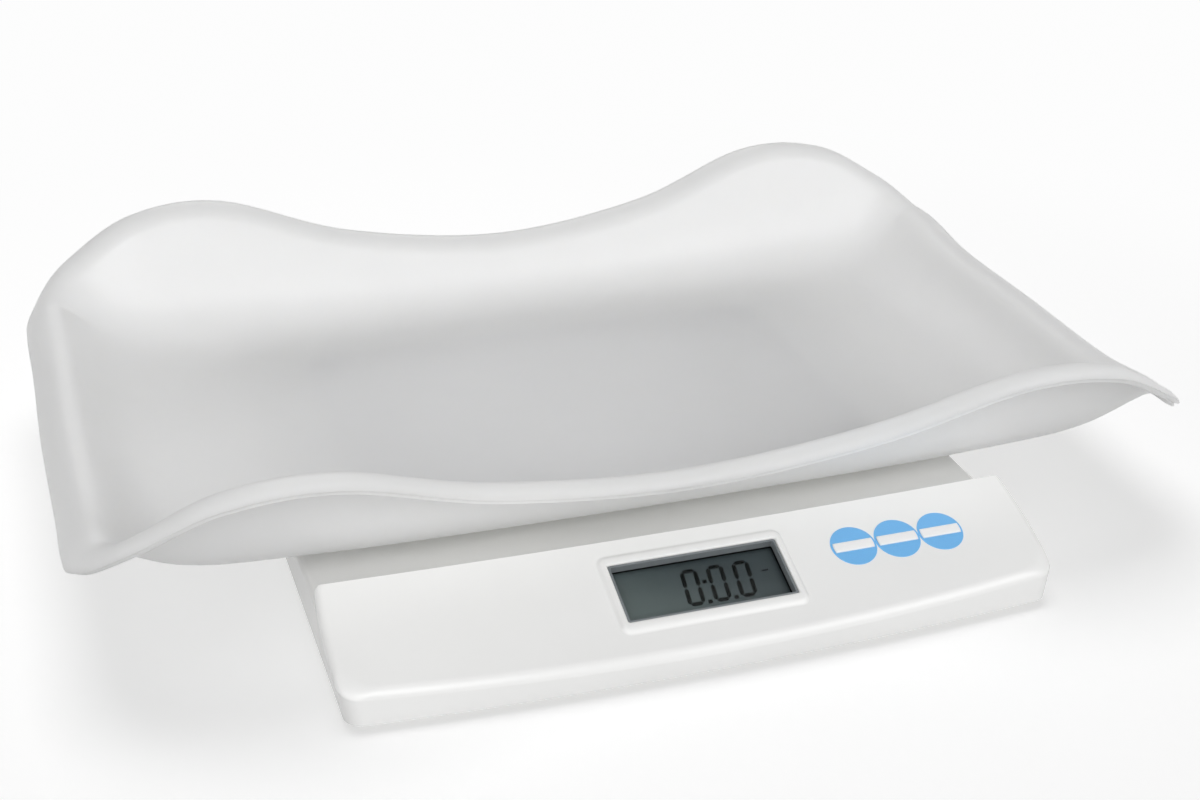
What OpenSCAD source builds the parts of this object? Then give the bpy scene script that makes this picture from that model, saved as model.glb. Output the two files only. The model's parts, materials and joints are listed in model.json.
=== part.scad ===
// Digital baby weighing scale.
// A curved tray lifts off a weighing platform, which stands on a bar load cell in a flat base.
// The base rises at the front to a sloped console with a display and three keys.
// Millimetres. X runs across the scale, Y to its back and Z up. The origin is on the floor,
// under the middle of the whole scale.

/* [Tray] */
// Distance from the front edge of the base back to the middle of the tray
tray_from_front = 210.5; // [208:0.5:213]
// Height of the tray's inner floor
tray_floor_z = 41; // [41:0.5:43]
// Thickness of the moulded tray
tray_wall = 3; // [2:0.25:3.5]
// Half the length of the flat floor
floor_half_x = 195; // [185:1:205]
// Half the depth of the flat floor
floor_half_y = 103; // [95:1:108]
// Steepness of the long walls at their top, in degrees
side_angle = 60; // [50:1:66]
// Steepness of the end walls at their top, in degrees
end_angle = 36; // [28:1:45]
// Radius of the rolled lip
lip_radius = 14; // [14:0.5:18]
// How far the lip reaches out past the crest along the long sides
side_lip = 9; // [6:0.5:11]
// How far the lip reaches out past the crest at the ends
end_lip = 13.8; // [11:0.1:13.9]
// How far the locating pegs reach down under the tray
peg_h = 6; // [4:0.5:7]
// Radius of the locating pegs
peg_r = 7; // [5:0.5:8]

/* [Base] */
// Width of the base at its corners
base_w = 343; // [341:1:345]
// Overall depth of the base
base_d = 350; // [348:1:356]
// Wall thickness of the housing
wall = 2.5; // [2:0.25:3]
// Height of the flat deck behind the console
deck_z = 28; // [28:0.25:29]
// Height where the front face meets the sloped panel
nose_z = 17; // [16.5:0.25:18]
// Slope of the control panel, in degrees
panel_tilt = 19.9; // [19:0.1:21]
// Depth of the console from front to back
console_d = 68; // [67:0.5:69]
// How far the front edge is bowed
front_bow = 9.5; // [6:0.5:11]
// How far the sides of the console swell
side_bow = 2.5; // [0.5:0.5:3.5]
// Radius of the front corners at the foot
corner_r = 9; // [7:0.5:12]
// Radius of the front corners round the sloped panel
panel_corner_r = 20; // [12:1:24]
// Height of the rounded edge round the panel
edge_r = 4; // [3.5:0.25:5]
// Width of the rounded edge at the ends of the panel
end_edge = 4.5; // [4:0.25:6]
// Radius of the deck's edge
deck_edge_r = 3; // [2.75:0.25:3.5]

/* [Display] */
// Place of the display across the panel
display_x = 1.5; // [-1:0.5:2]
// Width of the display opening
display_w = 83.4; // [80:0.2:85]
// Height of the display opening along the slope
display_h = 33; // [30:0.5:34]
// Middle of the display, measured up the slope
display_s = 37.2; // [36.5:0.1:38]
// How far the surround stands proud of the panel
surround_rise = 1.6; // [1:0.1:2]
// Width of the surround beside the display
surround_side = 4.5; // [3.5:0.5:6]
// Width of the surround above and below the display
surround_end = 6.5; // [5:0.5:7]
// Height of a digit
digit_h = 21; // [16:0.5:22]
// Width of a digit
digit_w = 8.6; // [7:0.1:9]

/* [Keys] */
// Radius of the blue disc printed round each key
disc_r = 11.4; // [11:0.1:11.4]
// Distance from one key to the next
key_pitch = 22.9; // [22.8:0.1:24]
// Place of the first key across the panel
first_key_x = 79.8; // [78:0.2:81]
// Place of the keys up the slope
key_s = 42.3; // [40:0.1:44]
// Length of the key bar
key_len = 20.6; // [18:0.2:20.6]
// Width of the key bar
key_bar = 5.4; // [4.5:0.1:6]
// How far the keys stand proud of the panel
key_rise = 1; // [0.9:0.1:1.6]

/* [Weighing] */
// Length of the bar load cell
cell_len = 80; // [80:1:84]
// Width and height of the bar load cell
cell_side = 12.7; // [12.5:0.1:12.8]
// Length of the platform across the scale
platform_x = 270; // [266:1:280]
// Depth of the platform
platform_y = 180; // [176:1:186]

/* [Batteries] */
// Diameter of one battery
battery_dia = 14.4; // [14:0.1:14.5]
// Length of one battery with its button
battery_len = 50.5; // [50:0.1:50.5]

/* [Hidden] */

fine = 64;
gap = 0.3;
eps = 0.01;

function unit(a) = a / norm(a);
function mix(a, b, t) = a * (1 - t) + b * t;
function middle(ring) = [for (k = [0:2]) [for (p = ring) p[k]] * [for (p = ring) 1] / len(ring)];

// A closed solid through rings of equally many points, each listed anticlockwise from above
module loft(rings) {
  n = len(rings[0]);
  m = len(rings);
  points = concat([for (r = rings) for (p = r) p], [middle(rings[0]), middle(rings[m - 1])]);
  sides = [for (i = [0:m - 2]) for (j = [0:n - 1]) let(a = i * n + j, b = i * n + (j + 1) % n)
    each [[a, a + n, b + n], [a, b + n, b]]];
  foot = [for (j = [0:n - 1]) [m * n, j, (j + 1) % n]];
  cap = [for (j = [0:n - 1]) [m * n + 1, (m - 1) * n + (j + 1) % n, (m - 1) * n + j]];
  polyhedron(points, concat(sides, foot, cap), convexity = 6);
}

// Catmull-Rom curve from b to c, with a before and d after
function curve(a, b, c, d, t) =
  0.5 * (2 * b + (c - a) * t + (2 * a - 5 * b + 4 * c - d) * t * t
    + (3 * b - a - 3 * c + d) * t * t * t);
// Smooth open route through chosen points
function route(p, steps) = let(n = len(p) - 1) concat(
  [for (i = [0:n - 1]) for (k = [0:steps - 1])
    curve(p[max(i - 1, 0)], p[i], p[i + 1], p[min(i + 2, n)], k / steps)],
  [p[n]]);
// Round wire along a route
module wire(path, r, sides) {
  n = len(path) - 1;
  loft([for (i = [0:n])
    let(t = unit(path[min(i + 1, n)] - path[max(i - 1, 0)]), u = unit(cross([0.3, 0.2, 1], t)))
    let(v = cross(t, u))
    [for (k = [0:sides - 1]) let(a = 360 * k / sides) path[i] + r * (cos(a) * u + sin(a) * v)]]);
}

// ---- Tray surface -------------------------------------------------------------------------
// Crest of the rim over one quarter of the tray, from the middle of the end to the middle of
// the long side: low ends, a soft corner and a high hump beside it
rim_quarter = [
  [264, 0, 65], [263, 75, 65.5], [263, 118, 70.5], [260, 137, 73], [245, 156, 87],
  [211, 165.5, 105], [162, 167, 107.5], [91, 157.5, 85.5], [0, 153, 75]
];
rim_last = len(rim_quarter) - 1;
rim_steps = 4;
wall_rows = 8;
lip_rows = 5;
// Share of the wall's run over which its foot stays low, and the pull at its top end
foot_pull = 0.74;
top_pull = 0.45;
floor_power = 4;
function flip(p, sx, sy) = [p[0] * sx, p[1] * sy, p[2]];
rim_control = concat(
  rim_quarter,
  [for (i = [1:rim_last]) flip(rim_quarter[rim_last - i], -1, 1)],
  [for (i = [1:rim_last]) flip(rim_quarter[i], -1, -1)],
  [for (i = [1:rim_last - 1]) flip(rim_quarter[rim_last - i], 1, -1)]
);
control_n = len(rim_control);
rim_n = control_n * rim_steps;
rim = [for (i = [0:control_n - 1]) for (k = [0:rim_steps - 1])
  curve(rim_control[(i + control_n - 1) % control_n], rim_control[i],
    rim_control[(i + 1) % control_n], rim_control[(i + 2) % control_n], k / rim_steps)];
// Level direction that points out of the tray, square to the rim
function rim_out(j) =
  let(t = rim[(j + 1) % rim_n] - rim[(j + rim_n - 1) % rim_n]) unit([t[1], -t[0]]);
// Point of the flat floor's edge on the same ray from the middle as a point of the rim
rim_half_x = 266.5;
rim_half_y = 160;
function floor_edge(p) =
  let(dx = p[0] / rim_half_x, dy = p[1] / rim_half_y)
  let(r = pow(pow(abs(dx), floor_power) + pow(abs(dy), floor_power), 1 / floor_power))
  [floor_half_x * dx / r, floor_half_y * dy / r];
function bezier(a, b, c, d, t) =
  pow(1 - t, 3) * a + 3 * t * pow(1 - t, 2) * b + 3 * t * t * (1 - t) * c + t * t * t * d;
// One section of the tray's upper surface, from the floor's edge up the wall and over the lip
function tray_section(j) =
  let(crest = rim[j], out = rim_out(j), end_share = out[0] * out[0])
  let(angle = mix(side_angle, end_angle, end_share))
  let(droop = asin(mix(side_lip, end_lip, end_share) / lip_radius))
  let(top = [crest[0], crest[1]] - out * lip_radius * sin(angle))
  let(top_z = crest[2] - lip_radius * (1 - cos(angle)))
  let(foot = floor_edge(crest), run = top - foot)
  let(pull = top_pull * norm([norm(run) * (1 - foot_pull), top_z - tray_floor_z]))
  let(a = [foot[0], foot[1], tray_floor_z], b = a + foot_pull * [run[0], run[1], 0])
  let(d = [top[0], top[1], top_z])
  let(c = d - pull * [out[0] * cos(angle), out[1] * cos(angle), sin(angle)])
  concat(
    [for (k = [0:wall_rows]) bezier(a, b, c, d, k / wall_rows)],
    [for (k = [1:lip_rows]) let(t = angle - (angle + droop) * k / lip_rows)
      let(reach = lip_radius * (sin(angle) - sin(t)))
      d + [out[0] * reach, out[1] * reach, lip_radius * (cos(t) - cos(angle))]]
  );
tray_columns = [for (j = [0:rim_n - 1]) tray_section(j)];
tray_rows = wall_rows + lip_rows + 1;
tray_skin = [for (i = [0:tray_rows - 1]) [for (column = tray_columns) column[i]]];
function under_normal(i, j) = i == 0 ? [0, 0, -1] :
  let(along = tray_skin[i][(j + 1) % rim_n] - tray_skin[i][(j + rim_n - 1) % rim_n])
  let(up = tray_skin[min(i + 1, tray_rows - 1)][j] - tray_skin[i - 1][j])
  unit(cross(along, up));
tray_under = [for (i = [0:tray_rows - 1]) [for (j = [0:rim_n - 1])
  tray_skin[i][j] + tray_wall * under_normal(i, j)]];

// ---- Places -------------------------------------------------------------------------------
tray_reach = max([for (i = [0:tray_rows - 1]) for (j = [0:rim_n - 1])
  max(tray_skin[i][j][1], tray_under[i][j][1])]);
front_y = -(tray_from_front + tray_reach) / 2;
back_y = front_y + base_d;
tray_y = front_y + tray_from_front;
tray_under_z = tray_floor_z - tray_wall;
half_w = base_w / 2;
rim_z = 3.5;
plate_t = 3;
plate_z = rim_z + plate_t;
deck_under_z = deck_z - wall;
panel_under = -wall;

// Load cell stack, from the bottom cover up
stand_h = 2;
steel_t = 2;
spacer_t = 1;
bracket_z = plate_z + stand_h;
bracket_top_z = bracket_z + steel_t;
cell_z = bracket_top_z + spacer_t;
cell_top_z = cell_z + cell_side;
arm_z = cell_top_z + spacer_t;
arm_top_z = arm_z + steel_t;
seat_len = 26;
cell_holes = [20, 34];
cell_hole_r = 2.1;
cell_screw_r = 1.95;
cell_screw_bite = 9;
cell_head_r = 3.5;
cell_head_h = 1.9;
bracket_x = -40;
bracket_size = [76, 60];
bracket_holes = [31, 23];
small_screw_r = 1.4;

// Platform and its opening in the deck
platform_t = 3;
platform_skirt_z = deck_z + 3;
deck_hole = [216, 116];
coaming_t = 2;
coaming_h = 4;
arm_size = [200, 100];
post = [88, 40];
post_r = 5;
post_screw_r = 1.6;
peg = [122, 76];

// Console interior, measured square to the panel
board_top = -9.5;
board_t = 1.6;
board_under = board_top - board_t;
board_x = [-60, 140];
board_s = [12, 61];
board_posts = [for (x = [-55, 135]) for (s = [17.5, 57.5]) [x, s]];
bezel_t = 1.2;
bezel_top = 0.9;
window_top = -3.2;
window_t = 1.2;
window_under = window_top - window_t;
lcd_top = window_under - 0.1;
lcd_t = 2.2;
lcd_size = [92, 40];
holder_t = 3;
digit_t = 0.06;
digit_pitch = 12.9;
first_digit_x = -8.1;
digit_foot_s = 27.2;
digit_slant = 0.1;
stroke = 1.7;
key_indices = [0, 1, 2];
flange_top = panel_under - 0.1;
flange_t = 1;
flange_w = 0.8;
stem_r = 2;
plunger_r = 1.7;
plunger_top = -5.2;
plunger_under = -8.3;
switch_top = -6;
switch_side = 6;
label_t = 0.25;

// Battery bay under the back of the deck, and the door that slides out of the back
bay_half_x = 28.5;
bay_wall = 1.6;
battery_count = 4;
battery_pitch = 15;
battery_z = 14.5;
button_len = 1;
button_r = 2.75;
contact_t = 0.4;
bay_top_z = 22.7;
bay_roof = 1.5;
bay_len = battery_count * battery_pitch + 1;
bay_front = front_y + 282.5;
bay_back = bay_front + bay_len;
door_half_x = 29;
tongue_half_x = 32;
door_t = 2;
tongue_t = 1;
door_gap = 0.15;

// Feet and housing screws
foot_r = 9;
foot_recess = 1;
foot_spots = [for (x = [-140, 140]) for (y = [48, 308]) [x, front_y + y]];
screw_spots = [for (x = [-155, 155]) for (y = [24, 185, 330]) [x, front_y + y]];
housing_screw_r = 1.45;
housing_screw_top = 19;
screw_head_z = rim_z + 2.2;

module on_panel() translate([0, front_y, nose_z]) rotate([panel_tilt, 0, 0]) children();
module at_tray() translate([0, tray_y, 0]) children();
module at_display() on_panel() translate([display_x, display_s, 0]) children();
module at_key(i) on_panel() translate([first_key_x + i * key_pitch, key_s, 0]) children();
module at_spots(spots) for (p = spots) translate([p[0], p[1], 0]) children();
module at_cell_holes(side) at_tray() for (x = cell_holes) translate([side * x, 0, 0]) children();
module at_bracket_holes() at_tray() translate([bracket_x, 0, 0]) four(bracket_holes) children();
module four(p) for (sx = [-1, 1]) for (sy = [-1, 1]) translate([sx * p[0], sy * p[1], 0]) children();
module pillar(r, z0, z1) translate([0, 0, z0]) cylinder(r = r, h = z1 - z0, $fn = fine);
module slab(x, y, z0, z1) translate([-x / 2, -y / 2, z0]) cube([x, y, z1 - z0]);
module rounded_slab(x, y, r, z0, z1) translate([0, 0, z0]) linear_extrude(z1 - z0) {
  square([x - 2 * r, y], center = true);
  square([x, y - 2 * r], center = true);
  four([x / 2 - r, y / 2 - r]) circle(r = r, $fn = fine);
}

// ---- Housing outline ----------------------------------------------------------------------
corner_steps = 6;
front_steps = 14;
side_steps = 6;
edge_steps = 5;
draft = 0.5;
foot_tuck = 1.2;
back_bow = 2;
foot_bow = front_bow - 2;
foot_corner_r = 12;
back_corner_r = 3;
swell_mid = 36;
deck_start = 45;
function arc(cx, cy, r, a0) =
  [for (k = [0:corner_steps]) let(a = a0 + 90 * k / corner_steps) [cx + r * cos(a), cy + r * sin(a)]];
// Widens an outline most at one depth and not at all at the front
function swell(outline, bow) = [for (p = outline) let(t = (p[1] - front_y) / swell_mid - 1)
  [p[0] * (1 + bow / half_w * max(0, 1 - t * t)), p[1]]];
// Plan outline between two depths, pulled in on every side, with a bowed front and back
function plan(pull, back_pull, y0, y1, r_front, r_back, bows) =
  let(hw = half_w - pull, rf = max(r_front - pull, 1), rb = max(r_back - pull, 0.5))
  let(run = hw - rf, front = y0 + pull, back = y1 - back_pull)
  let(low = front + bows[0] * pow(run / half_w, 2) + rf, high = back - rb)
  let(side = [for (k = [1:side_steps - 1]) mix(low, high, k / side_steps)])
  concat(
    [for (k = [1:front_steps - 1]) let(x = -run + 2 * run * k / front_steps)
      [x, front + bows[0] * pow(x / half_w, 2)]],
    arc(run, low, rf, -90),
    [for (y = side) [hw, y]],
    arc(hw - rb, high, rb, 0),
    [for (k = [1:front_steps - 1]) let(t = 1 - 2 * k / front_steps)
      [(hw - rb) * t, back - bows[1] * (1 - t * t)]],
    arc(-hw + rb, high, rb, 90),
    [for (k = [1:side_steps - 1]) [-hw, side[side_steps - 1 - k]]],
    arc(-run, low, rf, 180)
  );
function console_plan(pull, back_pull, tuck, r_front, bow) =
  plan(pull, back_pull, front_y + tuck, front_y + console_d, r_front, back_corner_r,
    [bow, back_bow]);
function deck_plan(pull) =
  plan(pull, pull, front_y + deck_start, back_y, corner_r, corner_r, [0, 0]);
function cover_plan(pull) =
  plan(pull, pull, front_y + foot_tuck, back_y, foot_corner_r, corner_r, [foot_bow, 0]);
function flat_ring(outline, z) = [for (p = outline) [p[0], p[1], z]];
function slope_ring(outline, drop) =
  [for (p = outline) [p[0], p[1], nose_z + (p[1] - front_y) * tan(panel_tilt) - drop]];

// The filled housing, pulled in by the given distance on every outer side
module housing_block(pull, foot_z) {
  r = max(edge_r - pull, 1);
  deck_r = max(deck_edge_r - pull, 0.5);
  turns = [for (k = [0:edge_steps]) k / edge_steps];
  loft(concat(
    [flat_ring(console_plan(pull + draft, pull, foot_tuck, corner_r, foot_bow), foot_z)],
    [for (t = turns) let(turn = 1 - cos(90 * t), inset = pull + r * turn)
      slope_ring(
        swell(
          console_plan(inset, pull + r * turn / 2, 0, mix(corner_r, panel_corner_r, t), front_bow),
          side_bow - (end_edge - edge_r) * turn),
        pull / cos(panel_tilt) + r * (1 - sin(90 * t)))]
  ));
  loft(concat(
    [flat_ring(deck_plan(pull + draft), foot_z)],
    [for (t = turns)
      flat_ring(deck_plan(pull + eps + deck_r * (1 - cos(90 * t))),
        deck_z - pull - deck_r * (1 - sin(90 * t)))]
  ));
}

// Soft-edged frame that stands proud of the panel round the display
function rounded_ring(x, y, r, z) =
  [for (q = [0:3]) for (p = arc(0, 0, r, 90 * q))
    [p[0] + (q == 0 || q == 3 ? 1 : -1) * (x / 2 - r), p[1] + (q < 2 ? 1 : -1) * (y / 2 - r), z]];
module display_surround() {
  x = display_w + 2 * surround_side;
  y = display_h + 2 * surround_end;
  spread = 2;
  translate([display_x, display_s, 0]) loft(concat(
    [rounded_ring(x, y, 5, -1)],
    [for (k = [0:edge_steps]) let(a = 90 * k / edge_steps, in = 2 * spread * (1 - cos(a)))
      rounded_ring(x - in, y - in, 5 - in / 2, surround_rise * sin(a))]
  ));
}

// Outline of a key: a bar across a disc, its ends on the disc's circle
module bar_2d(grow) intersection() {
  circle(r = key_len / 2 + grow, $fn = fine);
  square([2 * key_len, key_bar + 2 * grow], center = true);
}

// Space that the battery door and its side tongues fill, open to the back
module door_space(grow) {
  y0 = bay_front - bay_wall - grow;
  len = back_y + 10 - y0;
  tongue_z = rim_z + door_t - tongue_t - grow;
  translate([-door_half_x - grow, y0, rim_z - 1])
    cube([2 * (door_half_x + grow), len, 1 + door_t + grow]);
  translate([-tongue_half_x - grow, y0, tongue_z])
    cube([2 * (tongue_half_x + grow), len, tongue_t + 2 * grow]);
}

// ---- Tray ---------------------------------------------------------------------------------
module tray() color("whitesmoke") at_tray() {
  loft(concat(tray_under, [for (i = [1:tray_rows]) tray_skin[tray_rows - i]]));
  four(peg) pillar(peg_r, tray_under_z - peg_h, tray_under_z + 1);
}

// ---- Platform -----------------------------------------------------------------------------
module platform() color("gainsboro") at_tray() difference() {
  union() {
    difference() {
      rounded_slab(platform_x, platform_y, 18, platform_skirt_z, tray_under_z);
      rounded_slab(platform_x - 2 * wall, platform_y - 2 * wall, 16,
        platform_skirt_z - 1, tray_under_z - platform_t);
    }
    four(post) pillar(post_r, arm_top_z, tray_under_z - 1);
  }
  four(peg) pillar(peg_r + gap, platform_skirt_z, tray_under_z + 1);
  four(post) pillar(post_screw_r + 0.05, arm_top_z - 1, tray_under_z - platform_t);
}

module platform_bracket() color("silver") at_tray() difference() {
  rounded_slab(arm_size[0], arm_size[1], 8, arm_z, arm_top_z);
  for (sy = [-1, 1]) translate([0, sy * 34, 0]) rounded_slab(130, 36, 6, arm_z - 1, arm_top_z + 1);
  translate([-48, 0, 0]) rounded_slab(70, 18, 6, arm_z - 1, arm_top_z + 1);
  four(post) pillar(2, arm_z - 1, arm_top_z + 1);
  for (x = cell_holes) translate([x, 0, 0]) pillar(cell_hole_r, arm_z - 1, arm_top_z + 1);
}

module platform_screws() color("dimgray") at_tray() four(post) {
  pillar(3.2, arm_z - 2, arm_z);
  pillar(post_screw_r, arm_z - eps, tray_under_z - platform_t - 1);
}

module cell_spacer(side, z0) difference() {
  at_tray() translate([side * (cell_len - seat_len) / 2, 0, 0])
    slab(seat_len, cell_side, z0, z0 + spacer_t);
  at_cell_holes(side) pillar(cell_hole_r, z0 - 1, z0 + spacer_t + 1);
}
module upper_spacer() color("silver") cell_spacer(1, cell_top_z);
module lower_spacer() color("silver") cell_spacer(-1, bracket_top_z);

module upper_cell_screws() color("dimgray") at_cell_holes(1) {
  pillar(cell_head_r, arm_top_z, arm_top_z + cell_head_h);
  pillar(cell_screw_r, cell_top_z - cell_screw_bite, arm_top_z + eps);
}
module lower_cell_screws() color("dimgray") at_cell_holes(-1) {
  pillar(cell_head_r, bracket_z - cell_head_h, bracket_z);
  pillar(cell_screw_r, bracket_z - eps, cell_z + cell_screw_bite);
}

// ---- Load cell ----------------------------------------------------------------------------
waist_r = 4.4;
waist_x = 7;
waist_slot = 3;
module load_cell() color("lightgray") difference() {
  at_tray() slab(cell_len, cell_side, cell_z, cell_top_z);
  at_tray() translate([0, 0, cell_z + cell_side / 2]) rotate([90, 0, 0]) {
    for (x = [-waist_x, waist_x]) translate([x, 0, 0]) pillar(waist_r, -cell_side, cell_side);
    translate([-waist_x, -waist_slot / 2, -cell_side]) cube([2 * waist_x, waist_slot, 2 * cell_side]);
  }
  for (side = [-1, 1]) at_cell_holes(side) pillar(cell_hole_r, cell_z - 1, cell_top_z + 1);
}

// Soft compound that covers the strain gauges over the thin stretches of the bar
cover_t = 0.4;
module gauge_covers() color("white") at_tray() for (z = [cell_z - cover_t, cell_top_z])
  rounded_slab(24, 8, 3, z, z + cover_t);

module base_bracket() color("silver") difference() {
  at_tray() translate([bracket_x, 0, 0])
    rounded_slab(bracket_size[0], bracket_size[1], 6, bracket_z, bracket_top_z);
  at_bracket_holes() pillar(1.8, bracket_z - 1, bracket_top_z + 1);
  at_cell_holes(-1) pillar(cell_hole_r, bracket_z - 1, bracket_top_z + 1);
}
module bracket_screws() color("dimgray") at_bracket_holes() {
  pillar(3, bracket_top_z, bracket_top_z + 1.8);
  pillar(small_screw_r, rim_z + 1.5, bracket_top_z + eps);
}

// ---- Housing ------------------------------------------------------------------------------
module top_housing() color("white") difference() {
  union() {
    difference() {
      housing_block(0, rim_z);
      difference() {
        housing_block(wall, rim_z - 1);
        intersection() {
          housing_block(wall / 2, rim_z - 1);
          union() {
            at_spots(screw_spots) pillar(4, plate_z + stand_h, 2 * deck_z);
            on_panel() at_spots(board_posts) pillar(3.4, board_top, wall);
          }
        }
      }
    }
    on_panel() display_surround();
    at_tray() rounded_slab(deck_hole[0] + 2 * coaming_t, deck_hole[1] + 2 * coaming_t, 12,
      deck_under_z, deck_z + coaming_h);
  }
  at_tray() rounded_slab(deck_hole[0], deck_hole[1], 10, deck_under_z - 1, deck_z + coaming_h + 1);
  at_display() rounded_slab(display_w, display_h, 1, -5, 5);
  for (i = key_indices) at_key(i) translate([0, 0, -5]) linear_extrude(10) bar_2d(gap);
  at_spots(screw_spots) pillar(housing_screw_r + 0.05, plate_z, housing_screw_top + 1);
  on_panel() at_spots(board_posts) pillar(1.25, board_top - 1, panel_under - 0.8);
  door_space(gap);
}

module bottom_cover() color("white") {
  edge_pull = wall + draft + gap;
  difference() {
    union() {
      translate([0, 0, rim_z]) linear_extrude(plate_t) polygon(cover_plan(edge_pull));
      translate([0, 0, rim_z]) linear_extrude(plate_t + 3) difference() {
        polygon(cover_plan(edge_pull));
        polygon(cover_plan(edge_pull + 1.6));
      }
      at_spots(screw_spots) pillar(5, rim_z, plate_z + stand_h);
      at_bracket_holes() pillar(4, rim_z, bracket_z);
      at_bay() slab(2 * (bay_half_x + bay_wall), bay_len + 2 * bay_wall, rim_z, bay_top_z + bay_roof);
    }
    at_spots(screw_spots) pillar(3.6, rim_z - 1, screw_head_z);
    at_spots(screw_spots) pillar(1.8, rim_z, plate_z + stand_h + 1);
    at_spots(foot_spots) pillar(foot_r + 0.2, rim_z - 1, rim_z + foot_recess);
    at_bracket_holes() pillar(small_screw_r + 0.05, rim_z + 1, bracket_z + 1);
    at_bay() slab(2 * bay_half_x, bay_len, rim_z - 1, bay_top_z);
    door_space(door_gap);
  }
}

module rubber_feet() color("dimgray") at_spots(foot_spots) pillar(foot_r, 0, rim_z + foot_recess);

module housing_screws() color("dimgray") at_spots(screw_spots) {
  pillar(3.3, rim_z + 0.3, screw_head_z);
  pillar(housing_screw_r, screw_head_z - eps, housing_screw_top);
}

// ---- Display ------------------------------------------------------------------------------
module display_bezel() color("darkgray") at_display() difference() {
  union() {
    rounded_slab(display_w - 0.1, display_h - 0.1, 1, window_top, bezel_top);
    slab(display_w + 10, display_h + 9, window_top, panel_under);
  }
  rounded_slab(display_w - 2 * bezel_t, display_h - 2 * bezel_t, 0.6, window_top - 1, bezel_top + 1);
}

module display_window() color("lightblue", 0.4) at_display()
  slab(display_w + 10, display_h + 9, window_under, window_top);

module lcd_panel() color("darkslategray") at_display()
  slab(lcd_size[0], lcd_size[1], lcd_top - lcd_t, lcd_top);

// The digits that are switched on: noughts with their points and a small dash
module segment(len, angle) rotate(angle) polygon([
  [-len / 2, 0], [-len / 2 + stroke / 2, stroke / 2], [len / 2 - stroke / 2, stroke / 2],
  [len / 2, 0], [len / 2 - stroke / 2, -stroke / 2], [-len / 2 + stroke / 2, -stroke / 2]]);
module nought() {
  half = digit_h / 2 - stroke / 2;
  for (s = [-1, 1]) {
    translate([0, s * half]) segment(digit_w - stroke - 0.4, 0);
    for (x = [-1, 1]) translate([x * (digit_w - stroke) / 2, s * half / 2]) segment(half - 0.4, 90);
  }
}
module lcd_digits() color("black") on_panel() translate([0, 0, lcd_top]) linear_extrude(digit_t)
  multmatrix([[1, digit_slant, 0, 0], [0, 1, 0, 0], [0, 0, 1, 0], [0, 0, 0, 1]])
  translate([first_digit_x - digit_slant * digit_foot_s, digit_foot_s]) {
    for (i = [0:2]) translate([i * digit_pitch + digit_w / 2, digit_h / 2]) nought();
    for (i = [1:2]) translate([i * digit_pitch - 2.1, stroke / 2]) square(stroke, center = true);
    translate([digit_pitch - 2.1, digit_h * 0.6]) square(stroke, center = true);
    translate([3 * digit_pitch + 2.5, digit_h * 0.63]) square([3.4, 0.8], center = true);
  }

module lcd_holder() color("dimgray") at_display() difference() {
  slab(lcd_size[0] + 2 * holder_t, lcd_size[1] + 2 * holder_t, board_top, window_under);
  slab(lcd_size[0] + gap, lcd_size[1] + gap, board_top - 1, window_under + 1);
}

module contact_strips() color("hotpink") at_display() for (s = [-1, 1]) translate([0, s * 17, 0])
  slab(84, 2.4, board_top, lcd_top - lcd_t);

// ---- Circuit board ------------------------------------------------------------------------
lead_plug_x = [-26, 46];
plug_s = 47;
plug_h = 4;
module circuit_board() color("seagreen") on_panel() difference() {
  translate([board_x[0], board_s[0], board_under])
    cube([board_x[1] - board_x[0], board_s[1] - board_s[0], board_t]);
  at_spots(board_posts) pillar(1.6, board_under - 1, board_top + 1);
}
module board_parts() color("dimgray") on_panel() {
  translate([10, 36, 0]) slab(14, 14, board_under - 2, board_under);
  for (x = lead_plug_x) translate([x, plug_s, 0]) slab(9, 6, board_under - plug_h, board_under);
  translate([84, 40, 0]) pillar(3.2, board_under - 7, board_under);
  for (i = [0:5]) translate([-8 + 7 * i, 22, 0]) slab(3.2, 1.6, board_under - 0.8, board_under);
}
module board_screws() color("dimgray") on_panel() at_spots(board_posts) {
  pillar(2.8, board_under - 1.8, board_under);
  pillar(1.2, board_under - eps, board_top + 5);
}

// ---- Keys ---------------------------------------------------------------------------------
module key_label() color("cornflowerblue") difference() {
  for (i = key_indices) at_key(i) linear_extrude(label_t) circle(r = disc_r, $fn = fine);
  for (i = key_indices) at_key(i) translate([0, 0, -1]) linear_extrude(3) bar_2d(gap);
}
module key(i) color("white") at_key(i) {
  translate([0, 0, flange_top - flange_t]) linear_extrude(key_rise - flange_top + flange_t) bar_2d(0);
  translate([0, 0, flange_top - flange_t]) linear_extrude(flange_t) bar_2d(flange_w);
  pillar(stem_r, plunger_top, flange_top - flange_t + eps);
}
module plunger(i) color("dimgray") at_key(i) pillar(plunger_r, plunger_under, plunger_top);
module left_key() key(0);
module middle_key() key(1);
module right_key() key(2);
module left_plunger() plunger(0);
module middle_plunger() plunger(1);
module right_plunger() plunger(2);
module key_switches() color("black") for (i = key_indices) at_key(i) difference() {
  slab(switch_side, switch_side, board_top, switch_top);
  pillar(plunger_r + 0.06, board_top + 0.3, switch_top + 1);
}

// ---- Batteries ----------------------------------------------------------------------------
module at_bay() translate([0, (bay_front + bay_back) / 2, 0]) children();
module at_batteries() for (i = [0:battery_count - 1])
  translate([0, bay_front + 0.5 + battery_pitch * (i + 0.5), battery_z])
    mirror([i % 2, 0, 0]) children();
contact_x = bay_half_x - contact_t;
battery_end_x = contact_x - battery_len;
module rod_x(r, x0, x1) rotate([0, 90, 0]) pillar(r, x0, x1);

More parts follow.
